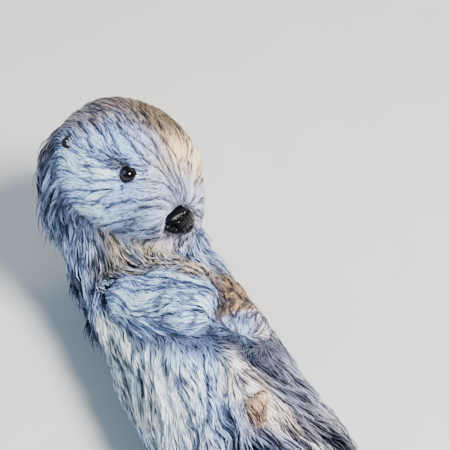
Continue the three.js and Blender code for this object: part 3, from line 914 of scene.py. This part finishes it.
def lid_grid(eye, sign, sizes):
    """The lids' rim: their section, swept round the eye's axis on an oval that two bell curves draw out at
    the corners. Its outer rings are set down on the skin."""
    way, across, up = eye_axes(sign)
    turn = circle(72)[None]
    ring, rise = LID[:, :1], LID[:, 1:]
    ahead = np.cos(turn) * sign
    corner = 0.16 * np.exp(-(((ahead + 1) / 0.22) ** 2)) + 0.10 * np.exp(-(((ahead - 1) / 0.2) ** 2))
    oval = (0.93 + 0.06 * np.sin(turn) ** 2) + corner * (ring - 0.75)
    r = ring * oval * sizes.eye_radius
    h = rise * sizes.eye_radius - 0.0004 * corner / 0.2
    lid = from_head(eye + r[..., None] * spun(turn, across, up) + h[..., None] * way, sizes)
    flat = lid.reshape(-1, 3)
    height, normal, _ = made["near"](flat)
    sit = np.repeat(ease(ring[:, 0], 1.08, 1.25), lid.shape[1])
    return (flat + normal * (sit * (-0.0006 - height))[:, None]).reshape(lid.shape)


class OTTER_OT_eyes(bpy.types.Operator):
    """Eyeballs and the rims of their lids"""

    bl_idname = "otter.eyes"
    bl_label = "Eyes"

    def execute(self, context):
        sizes, colours = context.scene.otter_sizes, context.scene.otter_colours
        gloss = material("eye_gloss", 0.03, colours.eye, grain=(0.002, 0.3, 0.0), specular=0.5)
        rim_finish = material("lid_skin", 0.6, specular=0.2, grain=(0.0007, 0.2, 0.0002))
        rims, tints = [], []
        for side, sign in SIDES:
            eye = eye_spot(sizes, sign)
            piece = surface(f"eyeball_{side}", ball_grid(eye, sign, sizes), round_columns=True)
            dressed(piece, gloss, "eye_gloss", f"eye_{side}")
            rims.append(lid_grid(eye, sign, sizes))
            flat = rims[-1].reshape(-1, 3)
            fur = markings(flat, named(made["near"].more(flat)), sizes, colours).reshape(rims[-1].shape)
            share = ease(LID[:, :1], 1.08, 1.28)[..., None]
            tints.append(0.12 * (np.array(colours.bare) * (1 - share) + fur * share))
        dressed(joined("eyelids", rims, tints), rim_finish, "bare_skin")
        return {"FINISHED"}


def nose_grid(sizes):
    """The nose pad as rings round its middle. Its rim is a circle bent by powers, higher than it is deep. It
    domes forward, falls back at the sides by the square of the distance, and turns in at the rim. The
    nostrils are two slanting ovals of a bell curve, each with a cut running out from it, and a fine groove
    runs down the middle."""
    turn = circle(120)[None]
    out = np.linspace(0, 1, 48)[:, None]
    y, z = np.cos(turn), np.sin(turn)
    power = np.where(z > 0, 1.4, 2.3)
    reach = (np.abs(y) ** power + np.abs(z) ** power) ** (-1 / power)
    ring = np.minimum(out / 0.88, 1) ** 0.9
    left = reach * y * 0.0198 * ring
    up = reach * z * np.where(z > 0, 0.0185, 0.0078 - 0.0020 * np.exp(-((y / 0.22) ** 2))) * ring
    dome = 0.0050 * np.sqrt(np.clip(1 - (ring * 0.97) ** 2.6, 0, 1)) - 11.0 * left**2 + 0.10 * up
    dome = dome - 0.012 * ease(out, 0.88, 1.0)
    for _, sign in SIDES:
        side = left * sign
        slot = ((side - 0.0092) / 0.0040) ** 2 + ((up + 0.0005 - 0.45 * (side - 0.0092)) / 0.0024) ** 2
        cut = ((side - 0.0145) / 0.0042) ** 2 + ((up - 0.0005 + 0.25 * (side - 0.0145)) / 0.0011) ** 2
        dome = dome - 0.0050 * np.exp(-slot) - 0.0020 * np.exp(-cut)
    dome = dome - 0.0012 * np.exp(-((left / 0.0010) ** 2)) * ease(-up, -0.002, 0.006)
    grain = cloud(np.stack([left, up, left * 0], -1).reshape(-1, 3), 0.0013, 9).reshape(left.shape)
    dome = dome + 0.0010 * (grain - 0.5) * (1 - ease(out, 0.8, 0.9))
    forward, _, above = sizes.nose_place
    pad = np.stack([forward + dome, left, above + up], -1)
    return from_head(pad.reshape(-1, 3), sizes).reshape(pad.shape)


class OTTER_OT_nose(bpy.types.Operator):
    """The bare nose pad with its nostrils"""

    bl_idname = "otter.nose"
    bl_label = "Nose"

    def execute(self, context):
        sizes, colours = context.scene.otter_sizes, context.scene.otter_colours
        wet = material("nose_skin", 0.12, colours.nose, grain=(0.0009, 0.4, 0.0004), specular=0.18)
        dressed(surface("nose_pad", nose_grid(sizes), round_columns=True), wet, "nose_skin", "nose")
        return {"FINISHED"}


def ear_grid(side, sign, turn, sizes):
    """An ear as rings along its axis, at angles of turn. Its half width is level and then rounds off as part
    of an oval, its section is a thin oval shell, and it is cupped by the square of the distance across."""
    root = in_head(middle(f"ear_{side}")[None], sizes)[0] + np.array([0.008, -sign * 0.0085, 0.0065])
    axis = unit(np.array([-0.62, sign * 0.66, -0.42]))
    wide = unit(np.cross(axis, np.array([0.55, sign * 0.30, 0.75])))
    thick = np.cross(wide, axis)
    u = np.linspace(0, 1, 20)[:, None]
    half = 0.0070 * np.sqrt(np.clip(1 - (np.maximum(u - 0.30, 0) / 0.71) ** 2.2, 0.0, 1)) + 0.0002
    across = np.sin(turn) * half
    shell = 0.0012 * np.cos(turn) * np.sqrt(np.clip(1 - u**6, 0.05, 1))
    cup = 0.55 * across**2 / 0.0070
    place = root + (0.0165 * u + 0 * turn)[..., None] * axis + across[..., None] * wide
    place = place + (shell + cup + 0.0015 * u)[..., None] * thick
    return from_head(place.reshape(-1, 3), sizes).reshape(place.shape)


class OTTER_OT_ears(bpy.types.Operator):
    """Small rolled ears, low on the head"""

    bl_idname = "otter.ears"
    bl_label = "Ears"

    def execute(self, context):
        sizes, colours = context.scene.otter_sizes, context.scene.otter_colours
        turn = circle(40)[None]
        grids = [ear_grid(side, sign, turn, sizes) for side, sign in SIDES]
        inner = ease(np.cos(turn), 0.0, 0.4)[..., None]
        back, lining = np.array(colours.taupe) * 0.40, np.array(colours.bare) * 0.30
        tint = back * (1 - inner) + lining * inner
        skin = material("ear_skin", 0.8, grain=(0.0008, 0.3, 0.0003), specular=0.1)
        dressed(joined("ears", grids, [tint, tint]), skin, "coat_back", "ear_right", "ear_left")
        return {"FINISHED"}


# Kind of claw, the foot that it is on, its thickness, and the share of its node's length that is drawn.
CLAWS = (("fore", "forepaw", 0.0009, 0.65), ("hind", "flipper", 0.0016, 1.0))


def claw(node, heart, thick, share):
    """A grid of rings along the node's own longest way, away from the foot's heart. It is moved back until
    it starts in the skin, bows up in the middle, and ends in a point after that share of the node's
    length."""
    co, _ = node_arrays(node)
    centre = co.mean(0)
    _, axes = np.linalg.eigh(np.cov((co - centre).T))
    way = axes[:, -1] * np.sign(axes[:, -1] @ (centre - heart))
    reach = (co - centre) @ way
    across = unit(np.cross(way, [0, 0, 1.0]))
    top = np.cross(across, way)
    s = np.linspace(0, 1, 10)[:, None]
    r = thick * (1 - s**1.8) ** 0.8 + 0.00008
    gap = np.linalg.norm(made["co"] - centre - reach.min() * way, axis=-1).min()
    line = centre + (reach.min() - gap - 0.002 + s * np.ptp(reach) * share)[..., None] * way
    line = line + (0.0009 * (1 - (2 * s - 1) ** 2))[..., None] * top
    return line + r[..., None] * spun(circle(12)[None], across * 0.8, top)


class OTTER_OT_claws(bpy.types.Operator):
    """Twenty slim claws"""

    bl_idname = "otter.claws"
    bl_label = "Claws"

    def execute(self, context):
        colours = context.scene.otter_colours
        grids, nodes = [], []
        for side, _ in SIDES:
            for kind, foot, thick, share in CLAWS:
                for n in range(1, 6):
                    nodes.append(f"claw_{kind}_{side}_{n}")
                    grids.append(claw(nodes[-1], middle(f"{foot}_{side}"), thick, share))
        horn = material("claw_horn", 0.55, colours.horn, grain=(0.0015, 0.25, 0.0001), specular=0.3)
        dressed(joined("claws", grids), horn, "horn", *nodes)
        return {"FINISHED"}


def whisker(root, way, length, girth):
    """Five-sided rings along a hair that droops by the square of the distance and tapers to a point."""
    side = unit(np.cross(way, [0.1, 0.3, 1.0]))
    top = np.cross(side, way)
    drop = np.array([0.25, 0, -0.6])
    s = np.linspace(0, 1, 9)
    line = root + s[:, None] * length * way + (s[:, None] ** 2) * length * 0.28 * drop
    r = girth * (1 - s) ** 0.7 + 0.00003
    return line[:, None] + r[:, None, None] * spun(circle(5), side, top)


class OTTER_OT_whiskers(bpy.types.Operator):
    """Stiff pale whiskers on the muzzle and brows"""

    bl_idname = "otter.whiskers"
    bl_label = "Whiskers"

    def execute(self, context):
        sizes, colours = context.scene.otter_sizes, context.scene.otter_colours
        rng = np.random.default_rng(sizes.seed + 50)
        roots, ways, lengths, stout = [], [], [], []
        for _, sign in SIDES:
            row, col = rng.integers(0, 5, 6), rng.random(6)
            out = sign * (0.020 + 0.020 * col)
            roots.append(np.stack([0.088 - 0.024 * col, out, -0.016 - 0.0042 * row - 0.003 * col], -1))
            ways.append(np.stack([0.25 - 0.8 * col, sign * (0.62 + 0 * col), -0.34 - 0.03 * row], -1))
            lengths.append(0.004 + 0.008 * rng.random(6) * (0.5 + col))
            stout.append(np.full(6, 0.00022))
            for spray in ((0.045, 0.045, 0.050), (0.055, 0.048, 0.033), (0.076, 0.040, -0.004)):
                lift = rng.random((5, 3)) - 0.5
                roots.append(np.array(spray) * (1, sign, 1) + lift * 0.005)
                ways.append(np.array([-0.2, sign * 0.8, 0.45]) + lift * 0.6)
                lengths.append(0.009 + 0.008 * rng.random(5))
                stout.append(np.full(5, 0.00055))
        roots = from_head(np.concatenate(roots), sizes)
        ways = unit(np.concatenate(ways) + rng.normal(0, 0.12, (len(roots), 3))) @ head_axes(sizes)
        lengths = np.concatenate(lengths)
        height, normal, _ = made["near"](roots)
        roots = roots - normal * (height + 0.0008)[:, None]
        ways = unit(ways + normal * 0.15)
        grids = [whisker(*each) for each in zip(roots, ways, lengths, np.concatenate(stout))]
        pale = material("whisker_horn", 0.3, np.array(colours.silver) * 1.05, grain=(0.004, 0.1, 0.0))
        dressed(joined("whiskers", grids), pale, "coat_head")
        return {"FINISHED"}


# ---------------------------------------------------------------- coat


def unwrap(p, heart, axis):
    """A root's place on the unwrapped part: along its axis one way and round it the other."""
    side = unit(np.cross(axis, [0.13, 0.21, 0.97]))
    top = np.cross(side, axis)
    d = p - heart
    along = d @ axis
    along = (along - along.min()) / max(np.ptp(along), 1e-6)
    turn = np.arctan2(d @ side, -(d @ top)) / (2 * np.pi) + 0.5
    return 0.004 + 0.992 * np.stack([along, turn], -1)


def roots_on_skin(weight, count, rng):
    """Points spread over the skin's triangles, by area and by the weight at the vertices."""
    co, tri = made["co"], made["tri"]
    a, b, c = (co[tri[:, k]] for k in range(3))
    area = np.linalg.norm(np.cross(b - a, c - a), axis=-1) * weight[tri].mean(-1)
    total = np.cumsum(area)
    pick = np.searchsorted(total, (np.arange(count) + rng.random(count)) / count * total[-1])
    pick = np.minimum(pick, len(tri) - 1)
    u, v = np.sqrt(rng.random(count))[:, None], rng.random(count)[:, None]
    p = a[pick] * (1 - u) + b[pick] * u * (1 - v) + c[pick] * u * v
    return p, pick


def fur_at(p, pick, context):
    """Length, width, standing height and clump size of the locks rooted at the points, their colour, and
    how much each is in a crease, how soft its shading is, and how wet it is. The wetter, the more it joins
    its clump."""
    sizes, coat = context.scene.otter_sizes, context.scene.otter_coat
    tri = made["tri"][pick]
    kinds = {k: v[tri].mean(-1) for k, v in made["parts"].items()}
    kept = made["kept"][tri].mean(1)
    near, crease = named(kept), kept[:, -1]
    q = in_head(p, sizes)
    body, ridge = kinds["body"], belly_ridge(p)
    pressed = ease(-p[:, 2], -0.012, -0.002) * (1 - kinds["foot"])
    hang = mane(q) * (kinds["face"] + kinds["crown"])
    sleek = mound(p, (-0.272, 0.030, 0.130), (0.050, 0.045, 0.060)) * body
    calm = mound(p, (-0.190, -0.067, 0.100), (0.060, 0.040, 0.045)) * body
    dome = near["forepaw_left"] + near["forearm_left"] + near["upper_arm_left"]

    size = sum(kinds[k][:, None] * np.array(getattr(coat, k)) for k in kinds)
    size[:, 2] *= (1 - 0.85 * pressed) * (0.85 + 0.3 * cloud(p, 0.02, 5)) * (1 - 0.65 * crease)
    size[:, 0] *= 1 - 0.45 * crease
    size *= 1 + hang[:, None] * np.array([0.90, 0.15, 2.0, 0.6])
    size[:, 2] *= 1 + 0.6 * hang * ease(-q[:, 2], 0.0, 0.03) * ease(np.abs(q[:, 1]), 0.02, 0.05)
    for _, sign in SIDES:
        over = mound(q, (-0.012, sign * 0.060, 0.026), (0.014, 0.02, 0.012))
        size *= 1 + over[:, None] * np.array([0.5, 0.1, 0.9, 0.0])
    size *= 1 - sleek[:, None] * np.array([0.55, 0.35, 0.6, 0.3])
    size *= 1 - (ridge * body)[:, None] * np.array([0.25, 0.4, 0.75, 0.3])
    size *= 1 - dome[:, None] * np.array([0.42, 0.15, 0.45, 0.0])
    keep_off(p, size, sizes)

    wet = 0.62 + 0.58 * np.maximum(hang, kinds["neck"]) + 0.25 * body * (1 - sleek) * (1 - ridge)
    wet = wet + 0.32 * (near["forepaw_right"] + near["forearm_right"]) + 0.15 * dome
    wet = wet + 0.22 * body * ease(p[:, 0], -0.15, -0.10) * (1 - ridge)
    wet = wet + 0.55 * body * mound(p, (-0.060, 0.020, 0.125), (0.05, 0.04, 0.05))
    wet = wet - 0.35 * calm - 0.20 * ridge * body
    short = 0.8 * kinds["crown"] + 1.3 * (kinds["arm"] + kinds["paw"])
    soft = kinds["face"] + kinds["foot"] + short * (1 - hang) + 0.9 * np.maximum(calm, ridge * body)
    return size, markings(p, near, sizes, context.scene.otter_colours), crease, soft, wet


def lock_faces(count, rings):
    """The loops of so many locks, and how many each face has: three sides, then a tip and an end."""
    verts = rings * 3 + 1
    turn, step = np.array([0, 1, 1, 0]), np.array([0, 0, 3, 3])
    quads = [3 * k + (i + turn) % 3 + step for k in range(rings - 1) for i in range(3)]
    tip = [[verts - 4 + i, verts - 4 + (i + 1) % 3, verts - 1] for i in range(3)]
    pattern = np.concatenate(quads + tip + [[2, 1, 0]])
    loops = (np.arange(count)[:, None] * verts + pattern).ravel()
    return loops, np.tile([4] * len(quads) + [3] * 4, count)


def strands(ground, across, grain, field, ring_of):
    """The streaks' value at each corner of the locks, and the distance from there to the nearest streak's
    middle, which the value's change over a step across the lock gives."""
    line = np.stack([streaks(g, field, grain) for g in ground], 1)
    slope = (streaks(ground[1] + across, field, grain) - line[:, 1])[:, None]
    steep = np.maximum(np.abs(slope) / np.linalg.norm(across, axis=-1)[:, None], 0.8 / grain)
    line = line[:, ring_of] + slope * np.append(np.tile([1, 0, -1], len(ground)), 0)
    return line, line / steep


def locks(name, p, size, colour, fold, soft, wet, field, patch, rings, seed, context):
    """A coat piece: closed, three-sided locks that taper to a point. Each starts under the skin, follows the
    lie of the coat ring by ring at its own height over the skin, and leans to the middle line of its long
    wet clump, so that tips meet in points. Light and shade are painted into the locks' colour: roots are
    darker as undercoat and painted shade, the clumps' edges, the grooves between strands and the creases
    take painted shade, each strand is painted lighter in its middle, and crests take the markings' colour as
    a painted highlight while the sides are painted darker."""
    sizes, colours = context.scene.otter_sizes, context.scene.otter_colours
    rng = np.random.default_rng(sizes.seed + seed)
    count = len(p)
    length, width, height, clump = size.T
    grain = float(np.median(clump))
    length = length * (0.70 + 0.55 * rng.random(count))
    width = width * (0.75 + 0.5 * rng.random(count))
    q = p
    _, normal, lie = field(q)
    side = np.cross(normal, lie)
    spot = clump_of(p, lie, grain * 1.5, 2.6, seed)
    small = clump_of(p, lie, grain * 0.7, 2.2, seed + 1)
    pull, small_pull = ((spot - p) * side).sum(-1), ((small - p) * side).sum(-1)
    ahead = ((spot - p) * lie).sum(-1)
    edge = np.clip(np.abs(pull) / (grain * 0.62), 0, 1)
    line, beside = streaks(p, field, grain), streaks(p + side * grain * 0.15, field, grain)
    bank = np.clip(np.sign(line) * (beside - line) / 0.2, -1, 1) * grain * 0.22 * np.exp(-np.abs(line) / 0.5)
    lifted = lattice(np.round(spot / grain * 8), seed + 2)[:, 0] - 0.35
    sway = rng.normal(0, 0.10, count) + (cloud(p, 0.016, 6) - 0.5) * 0.5
    phase = rng.random(count) * 6.28
    rise = height * (1 + 2.2 * np.clip(wet - 0.62, 0, 0.6) * lifted) * (1.0 - 0.45 * edge**2)
    rise = rise * (0.8 + 0.35 * rng.random(count)) * (1 - 0.55 * np.exp(-((line / 0.6) ** 2)))

    co = np.zeros((count, rings * 3 + 1, 3))
    ground = []
    for k in range(rings + 1):
        s = k / rings
        if k:
            q = q + unit(lie + side * sway[:, None] * 0.8) * (length / rings)[:, None]
            h, normal, lie = field(q)
            side = np.cross(normal, lie)
            q = q - normal * h[:, None]
            under = q
            q = q + normal * (rise * (0.18 + 0.82 * math.sin(1.9 * s)))[:, None]
        lean = wet * pull * s**1.3 + (0.35 * wet * small_pull + bank) * s
        lean = (lean + 0.03 * length * math.sin(3.1 * s) * np.sin(phase))[:, None] * side
        here = q - normal * (0.0010 * (1 - s) ** 2) + lean + lie * (0.25 * ahead * s**1.5)[:, None]
        if k:
            ground.append(under + lean)
        if k == rings:
            co[:, -1] = here
            break
        w = (width * (0.75 + 0.45 * math.sin(math.pi * min(s * 1.25, 1))) * (1 - 0.55 * s**2))[:, None]
        corners = [here + side * w / 2, here + normal * w * 0.42, here - side * w / 2]
        co[:, 3 * k : 3 * k + 3] = np.stack(corners, 1)
        if k == 1:
            across = side * w * 0.5
    co[..., 2] = np.maximum(co[..., 2], 0.0004 + 0.0004 * rng.random((count, 1)))

    along = np.append(np.repeat(np.arange(rings) / rings, 3), 1.0)
    crest = np.append(np.tile([0, 1, 0], rings), 0.5)
    ring_of = np.append(np.repeat(np.maximum(np.arange(rings) - 1, 0), 3), rings - 1)
    strand, away = strands(ground, across, grain, field, ring_of)
    own = lattice(np.round(spot / grain * 8), seed)[:, :1] - 0.5
    odd = rng.normal(0, 1, (count, 1)).clip(-1.6, 1.6)
    colour = colour * (1 + 0.25 * own) * (1 + (0.20 - 0.07 * soft[:, None]) * odd)
    # The colour of painted shade in the coat: the undercoat, with a bluish share of the markings.
    dark = np.array(colours.under) + np.array([0.05, 0.06, 0.10]) * colour
    # Painted shade: darker towards the roots, for the dark undercoat and the shade where the locks cover
    # each other, and darker at the edges of wet clumps.
    climb = ease(along[None], -0.05, (0.70 + 0.20 * np.minimum(soft, 1))[:, None])[..., None]
    deep = (0.97 - 0.40 * soft)[:, None, None] * (1 - climb)
    rim = (edge**1.6 * np.clip(1.1 * (wet - 0.50), 0, 0.95))[:, None, None] * (1 - 0.25 * climb)
    # Painted shade in the grooves between strands, weaker in creases.
    wide = grain * (0.170 + 0.42 * np.maximum(wet - 0.6, 0))[:, None]
    even = (1 - 0.8 * fold)[:, None]
    groove = 0.95 * (even * np.exp(-((away / wide) ** 2)))[..., None]
    # Painted shade in the wet grooves of the arms.
    ink = np.stack([painted_groove_shade(g) for g in ground], 1)[:, ring_of][..., None]
    # All painted shade together, with painted crease shade.
    shade = 1 - (1 - deep) * (1 - rim) * (1 - groove) * (1 - ink) * (1 - 0.85 * fold)[:, None, None]
    # Painted light across each strand: lighter in its middle and darker near the grooves, with tone that
    # differs from strand to strand.
    bright = 0.88 * (1 - np.exp(-((away / (0.27 * grain)) ** 2))) + 0.14 * np.clip(strand, -1, 1) - 0.34
    colour = colour[:, None] * (1 + even * bright)[..., None]
    tint = colour * (1 - shade) + dark[:, None] * shade
    # Painted highlight on each lock's crest and painted shade on its sides, lighter towards the tip.
    tint = tint * (0.50 + 0.75 * crest + 0.25 * along * (1 - crest))[None, :, None]
    tint = np.clip(tint, 0.002, 0.98).reshape(-1, 3)
    around = np.append(np.tile([-0.5, 0.0, 0.5], rings), 0.0)
    uv = np.clip(patch[:, None] + 0.003 * np.stack([along - 0.5, around], -1)[None], 0, 1)
    return mesh_piece(name, co.reshape(-1, 3), *lock_faces(count, rings), tint, uv.reshape(-1, 2))


def streaks(p, field, size):
    """Long lines along the lie of the coat: noise of that size, averaged along the flow over the skin for
    three and a half sizes either way, and scaled so that most values lie between -1 and 1."""
    steps, seed = 5, 90
    total = cloud(p, size, seed)
    for way in (-1, 1):
        q = p
        for _ in range(steps):
            h, normal, lie = field(q)
            q = q + way * 0.7 * size * lie - normal * h[:, None]
            total = total + cloud(q, size, seed)
    samples = 2 * steps + 1
    return (total / samples - 0.5) * math.sqrt(samples) * 3.4


# Painted shade in the wet grooves on the arms: the way they run, how far they are drawn out, their spacing,
# breadth and seed, and spots of centre, reach and strength.
PAINTED_GROOVE_SHADES = [
    ((0.39, 0.92, 0.0), 0.60, 0.0095, 0.085, 21, [
        ((-0.232, 0.054, 0.132), (0.034, 0.030, 0.030), 0.98),
        ((-0.200, 0.022, 0.155), (0.024, 0.022, 0.030), 0.80),
    ]),
    ((0.56, 0.57, 0.60), 0.86, 0.0085, 0.075, 33, [((-0.258, -0.026, 0.142), (0.040, 0.034, 0.036), 0.92)]),
]


def painted_groove_shade(p):
    """Painted shade: 1 on the wavy dark grooves over the left forearm and on the long grooves of the right
    one, where shade falls between wet strands: each is a contour of a noise that is drawn out along one
    direction, and fades away from its spots."""
    total = np.zeros(len(p))
    for way, drawn, size, breadth, seed, spots in PAINTED_GROOVE_SHADES:
        way = unit(np.array(way))
        wave = cloud(p - drawn * (p @ way)[:, None] * way, size, seed)
        line = np.exp(-(((wave - 0.5) / breadth) ** 2))
        for centre, reach, strength in spots:
            total = np.maximum(total, strength * mound(p, centre, reach) * line)
    return total


def keep_off(p, size, sizes):
    """Shortens and lowers, in place, the locks that would cover an eye or the line of the mouth."""
    q = in_head(p, sizes)
    for _, sign in SIDES:
        eye = eye_spot(sizes, sign)
        d = np.linalg.norm(q - eye, axis=-1)
        size[:, 0] *= 0.22 + 0.78 * ease(d, 0.0088, 0.019)
        size[:, 2] *= 0.35 + 0.65 * ease(d, 0.0088, 0.019)
    mouth = ease(mouth_line(q), 0.001, 0.009)
    size[:, 0] *= 0.4 + 0.6 * mouth
    size[:, 2] *= 0.3 + 0.7 * mouth


def bare(p, sizes):
    """0 where no coat grows: within the lids and under the nose pad."""
    q = in_head(p, sizes)
    grows = np.ones(len(p))
    for _, sign in SIDES:
        eye = eye_spot(sizes, sign)
        grows *= ease(np.linalg.norm(q - eye, axis=-1), 0.0086, 0.0096)
    d = (q - np.array(sizes.nose_place) + [0, 0, -0.003]) / np.array([0.02, 0.0180, 0.0145])
    grows *= ease((np.abs(d) ** 1.5).sum(-1), 0.8, 1.0)
    return grows


class OTTER_OT_coat(bpy.types.Operator):
    """The wet coat, in pieces of solid locks"""

    bl_idname = "otter.coat"
    bl_label = "Coat"

    def execute(self, context):
        sizes = context.scene.otter_sizes
        parts, co = made["parts"], made["co"]
        q = in_head(co, sizes)
        grows = bare(co, sizes)
        right = ease(-q[:, 1], -0.006, 0.006)
        furs = {
            "coat_head": material("head_fur", 0.38, coat=0.12, grain=(0.0006, 0.12, 0.0), specular=0.28),
            "coat_body": material("body_fur", 0.38, coat=0.12, grain=(0.0008, 0.12, 0.0), specular=0.28),
            "coat_back": material("dark_fur", 0.50, coat=0.05, grain=(0.0008, 0.12, 0.0), specular=0.2),
        }
        forward, _, up = head_axes(sizes)
        x = np.array([1.0, 0, 0])
        top = ease(co[:, 2], 0.05, 0.09)
        early = ease(-co[:, 0], 0.09, 0.13)
        legs = parts["leg"] + parts["foot"]
        near = named(made["kept"])
        extra = 0.7 * near["forepaw_left"] + 0.5 * near["forearm_left"] + 2.0 * near["belly_fold"]
        plan = [
            ("coat_face_right", parts["face"] * right, 7000, 4, "coat_head", forward),
            ("coat_face_left", parts["face"] * (1 - right), 6000, 4, "coat_head", forward),
            ("coat_crown", parts["crown"], 8000, 4, "coat_head", up),
            ("coat_neck", parts["neck"], 7800, 4, "coat_head", x),
            ("coat_arms", parts["arm"] + 1.5 * parts["paw"] + extra, 9000, 4, "coat_body", x),
            ("coat_chest", parts["body"] * top * early, 7000, 4, "coat_body", x),
            ("coat_belly", parts["body"] * top * (1 - early), 8000, 4, "coat_body", x),
            ("coat_back", parts["body"] * (1 - top), 8000, 3, "coat_back", x),
            ("coat_legs_tail", legs, 9000, 3, "coat_back", x),
        ]
        for n, (name, weight, count, rings, slot, axis) in enumerate(plan):
            heart = (co * weight[:, None]).sum(0) / weight.sum()
            rng = np.random.default_rng(sizes.seed + 300 + n)
            p, pick = roots_on_skin(weight * grows, count, rng)
            fur = fur_at(p, pick, context)
            piece = locks(name, p, *fur, made["near"], unwrap(p, heart, axis), rings, 10 + 7 * n, context)
            dressed(piece, furs[slot], slot)
        return {"FINISHED"}


# ---------------------------------------------------------------- stage


class OTTER_OT_stage(bpy.types.Operator):
    """Pale floor, soft lights and the camera"""

    bl_idname = "otter.stage"
    bl_label = "Stage"

    def execute(self, context):
        colours = context.scene.otter_colours
        s = np.linspace(-1, 1, 41)
        x, y = np.meshgrid(s, s, indexing="ij")
        far = np.hypot(x, y)
        floor = surface("floor", np.stack([x * 6, y * 6, 0 * far], -1))
        floor.data.materials.append(material("floor_paint", 0.7, colours.floor, grain=(0.05, 0.02, 0.0)))
        world = bpy.data.worlds.new("studio")
        world.use_nodes = True
        world.node_tree.nodes["Background"].inputs["Color"].default_value = (0.80, 0.88, 1.0, 1)
        world.node_tree.nodes["Background"].inputs["Strength"].default_value = 0.18
        context.scene.world = world
        heart = Vector((-0.2, 0, 0.1))
        for name, place, size, power, colour in (
            ("key", (0.70, 0.45, 1.75), 0.55, 116, (1.0, 0.95, 0.89)),
            ("fill", (-1.3, -1.5, 1.3), 1.6, 29, (0.48, 0.72, 1.0)),
            ("rim", (-1.3, 1.4, 1.2), 1.2, 16, (1.0, 0.95, 0.90)),
        ):
            lamp = bpy.data.lights.new(name, "AREA")
            lamp.size, lamp.energy, lamp.color = size, power, colour
            thing = bpy.data.objects.new(name, lamp)
            thing.location = place
            thing.rotation_euler = (heart - Vector(place)).to_track_quat("-Z", "Y").to_euler()
            context.scene.collection.objects.link(thing)
        lens = bpy.data.cameras.new("camera")
        camera = bpy.data.objects.new("camera", lens)
        turn, rise = math.radians(66.8), math.radians(48.0)
        right = Vector((math.cos(turn), math.sin(turn), 0))
        ahead = Vector((-math.sin(turn), math.cos(turn), 0))
        look = ahead * math.cos(rise) - Vector((0, 0, 1)) * math.sin(rise)
        up = ahead * math.sin(rise) + Vector((0, 0, 1)) * math.cos(rise)
        shoulders = Vector((head_centre(context.scene.otter_sizes)[0] + 0.077, 0, 0.090))
        # The camera stands this far from the shoulders and sees this width there.
        away, wide = 2.2, 0.4275
        aim = shoulders + right * 0.06745 + up * 0.0475
        camera.location = shoulders - look * away
        back = (camera.location - aim).normalized()
        across = (right - back * right.dot(back)).normalized()
        camera.rotation_euler = Matrix((across, back.cross(across), back)).transposed().to_euler()
        lens.sensor_width = 36
        lens.lens = lens.sensor_width * away / wide
        lens.clip_end = 50
        context.scene.collection.objects.link(camera)
        context.scene.camera = camera
        return {"FINISHED"}


class OTTER_PT_panel(bpy.types.Panel):
    """Each piece's operator, and the sizes and colours"""

    bl_idname = "OTTER_PT_panel"
    bl_label = "Sea otter"
    bl_space_type = "VIEW_3D"
    bl_region_type = "UI"
    bl_category = "Sea otter"

    def draw(self, context):
        for operator in OPERATORS:
            self.layout.operator(operator.bl_idname)
        for group in (context.scene.otter_sizes, context.scene.otter_colours, context.scene.otter_coat):
            for name in group.bl_rna.properties.keys():
                if name not in ("rna_type", "name"):
                    self.layout.prop(group, name)


OPERATORS = (
    OTTER_OT_skin, OTTER_OT_eyes, OTTER_OT_nose, OTTER_OT_ears, OTTER_OT_claws, OTTER_OT_whiskers,
    OTTER_OT_coat, OTTER_OT_stage,
)
GROUPS = (OtterSizes, OtterColours, OtterCoat)


def register():
    for cls in GROUPS + OPERATORS + (OTTER_PT_panel,):
        bpy.utils.register_class(cls)
    bpy.types.Scene.otter_sizes = PointerProperty(type=OtterSizes)
    bpy.types.Scene.otter_colours = PointerProperty(type=OtterColours)
    bpy.types.Scene.otter_coat = PointerProperty(type=OtterCoat)


def unregister():
    del bpy.types.Scene.otter_coat, bpy.types.Scene.otter_colours, bpy.types.Scene.otter_sizes
    for cls in reversed(GROUPS + OPERATORS + (OTTER_PT_panel,)):
        bpy.utils.unregister_class(cls)


def main():
    register()
    bpy.ops.otter.skin()
    bpy.ops.otter.eyes()
    bpy.ops.otter.nose()
    bpy.ops.otter.ears()
    bpy.ops.otter.claws()
    bpy.ops.otter.whiskers()
    bpy.ops.otter.coat()
    bpy.ops.otter.stage()


if __name__ == "__main__":
    main()
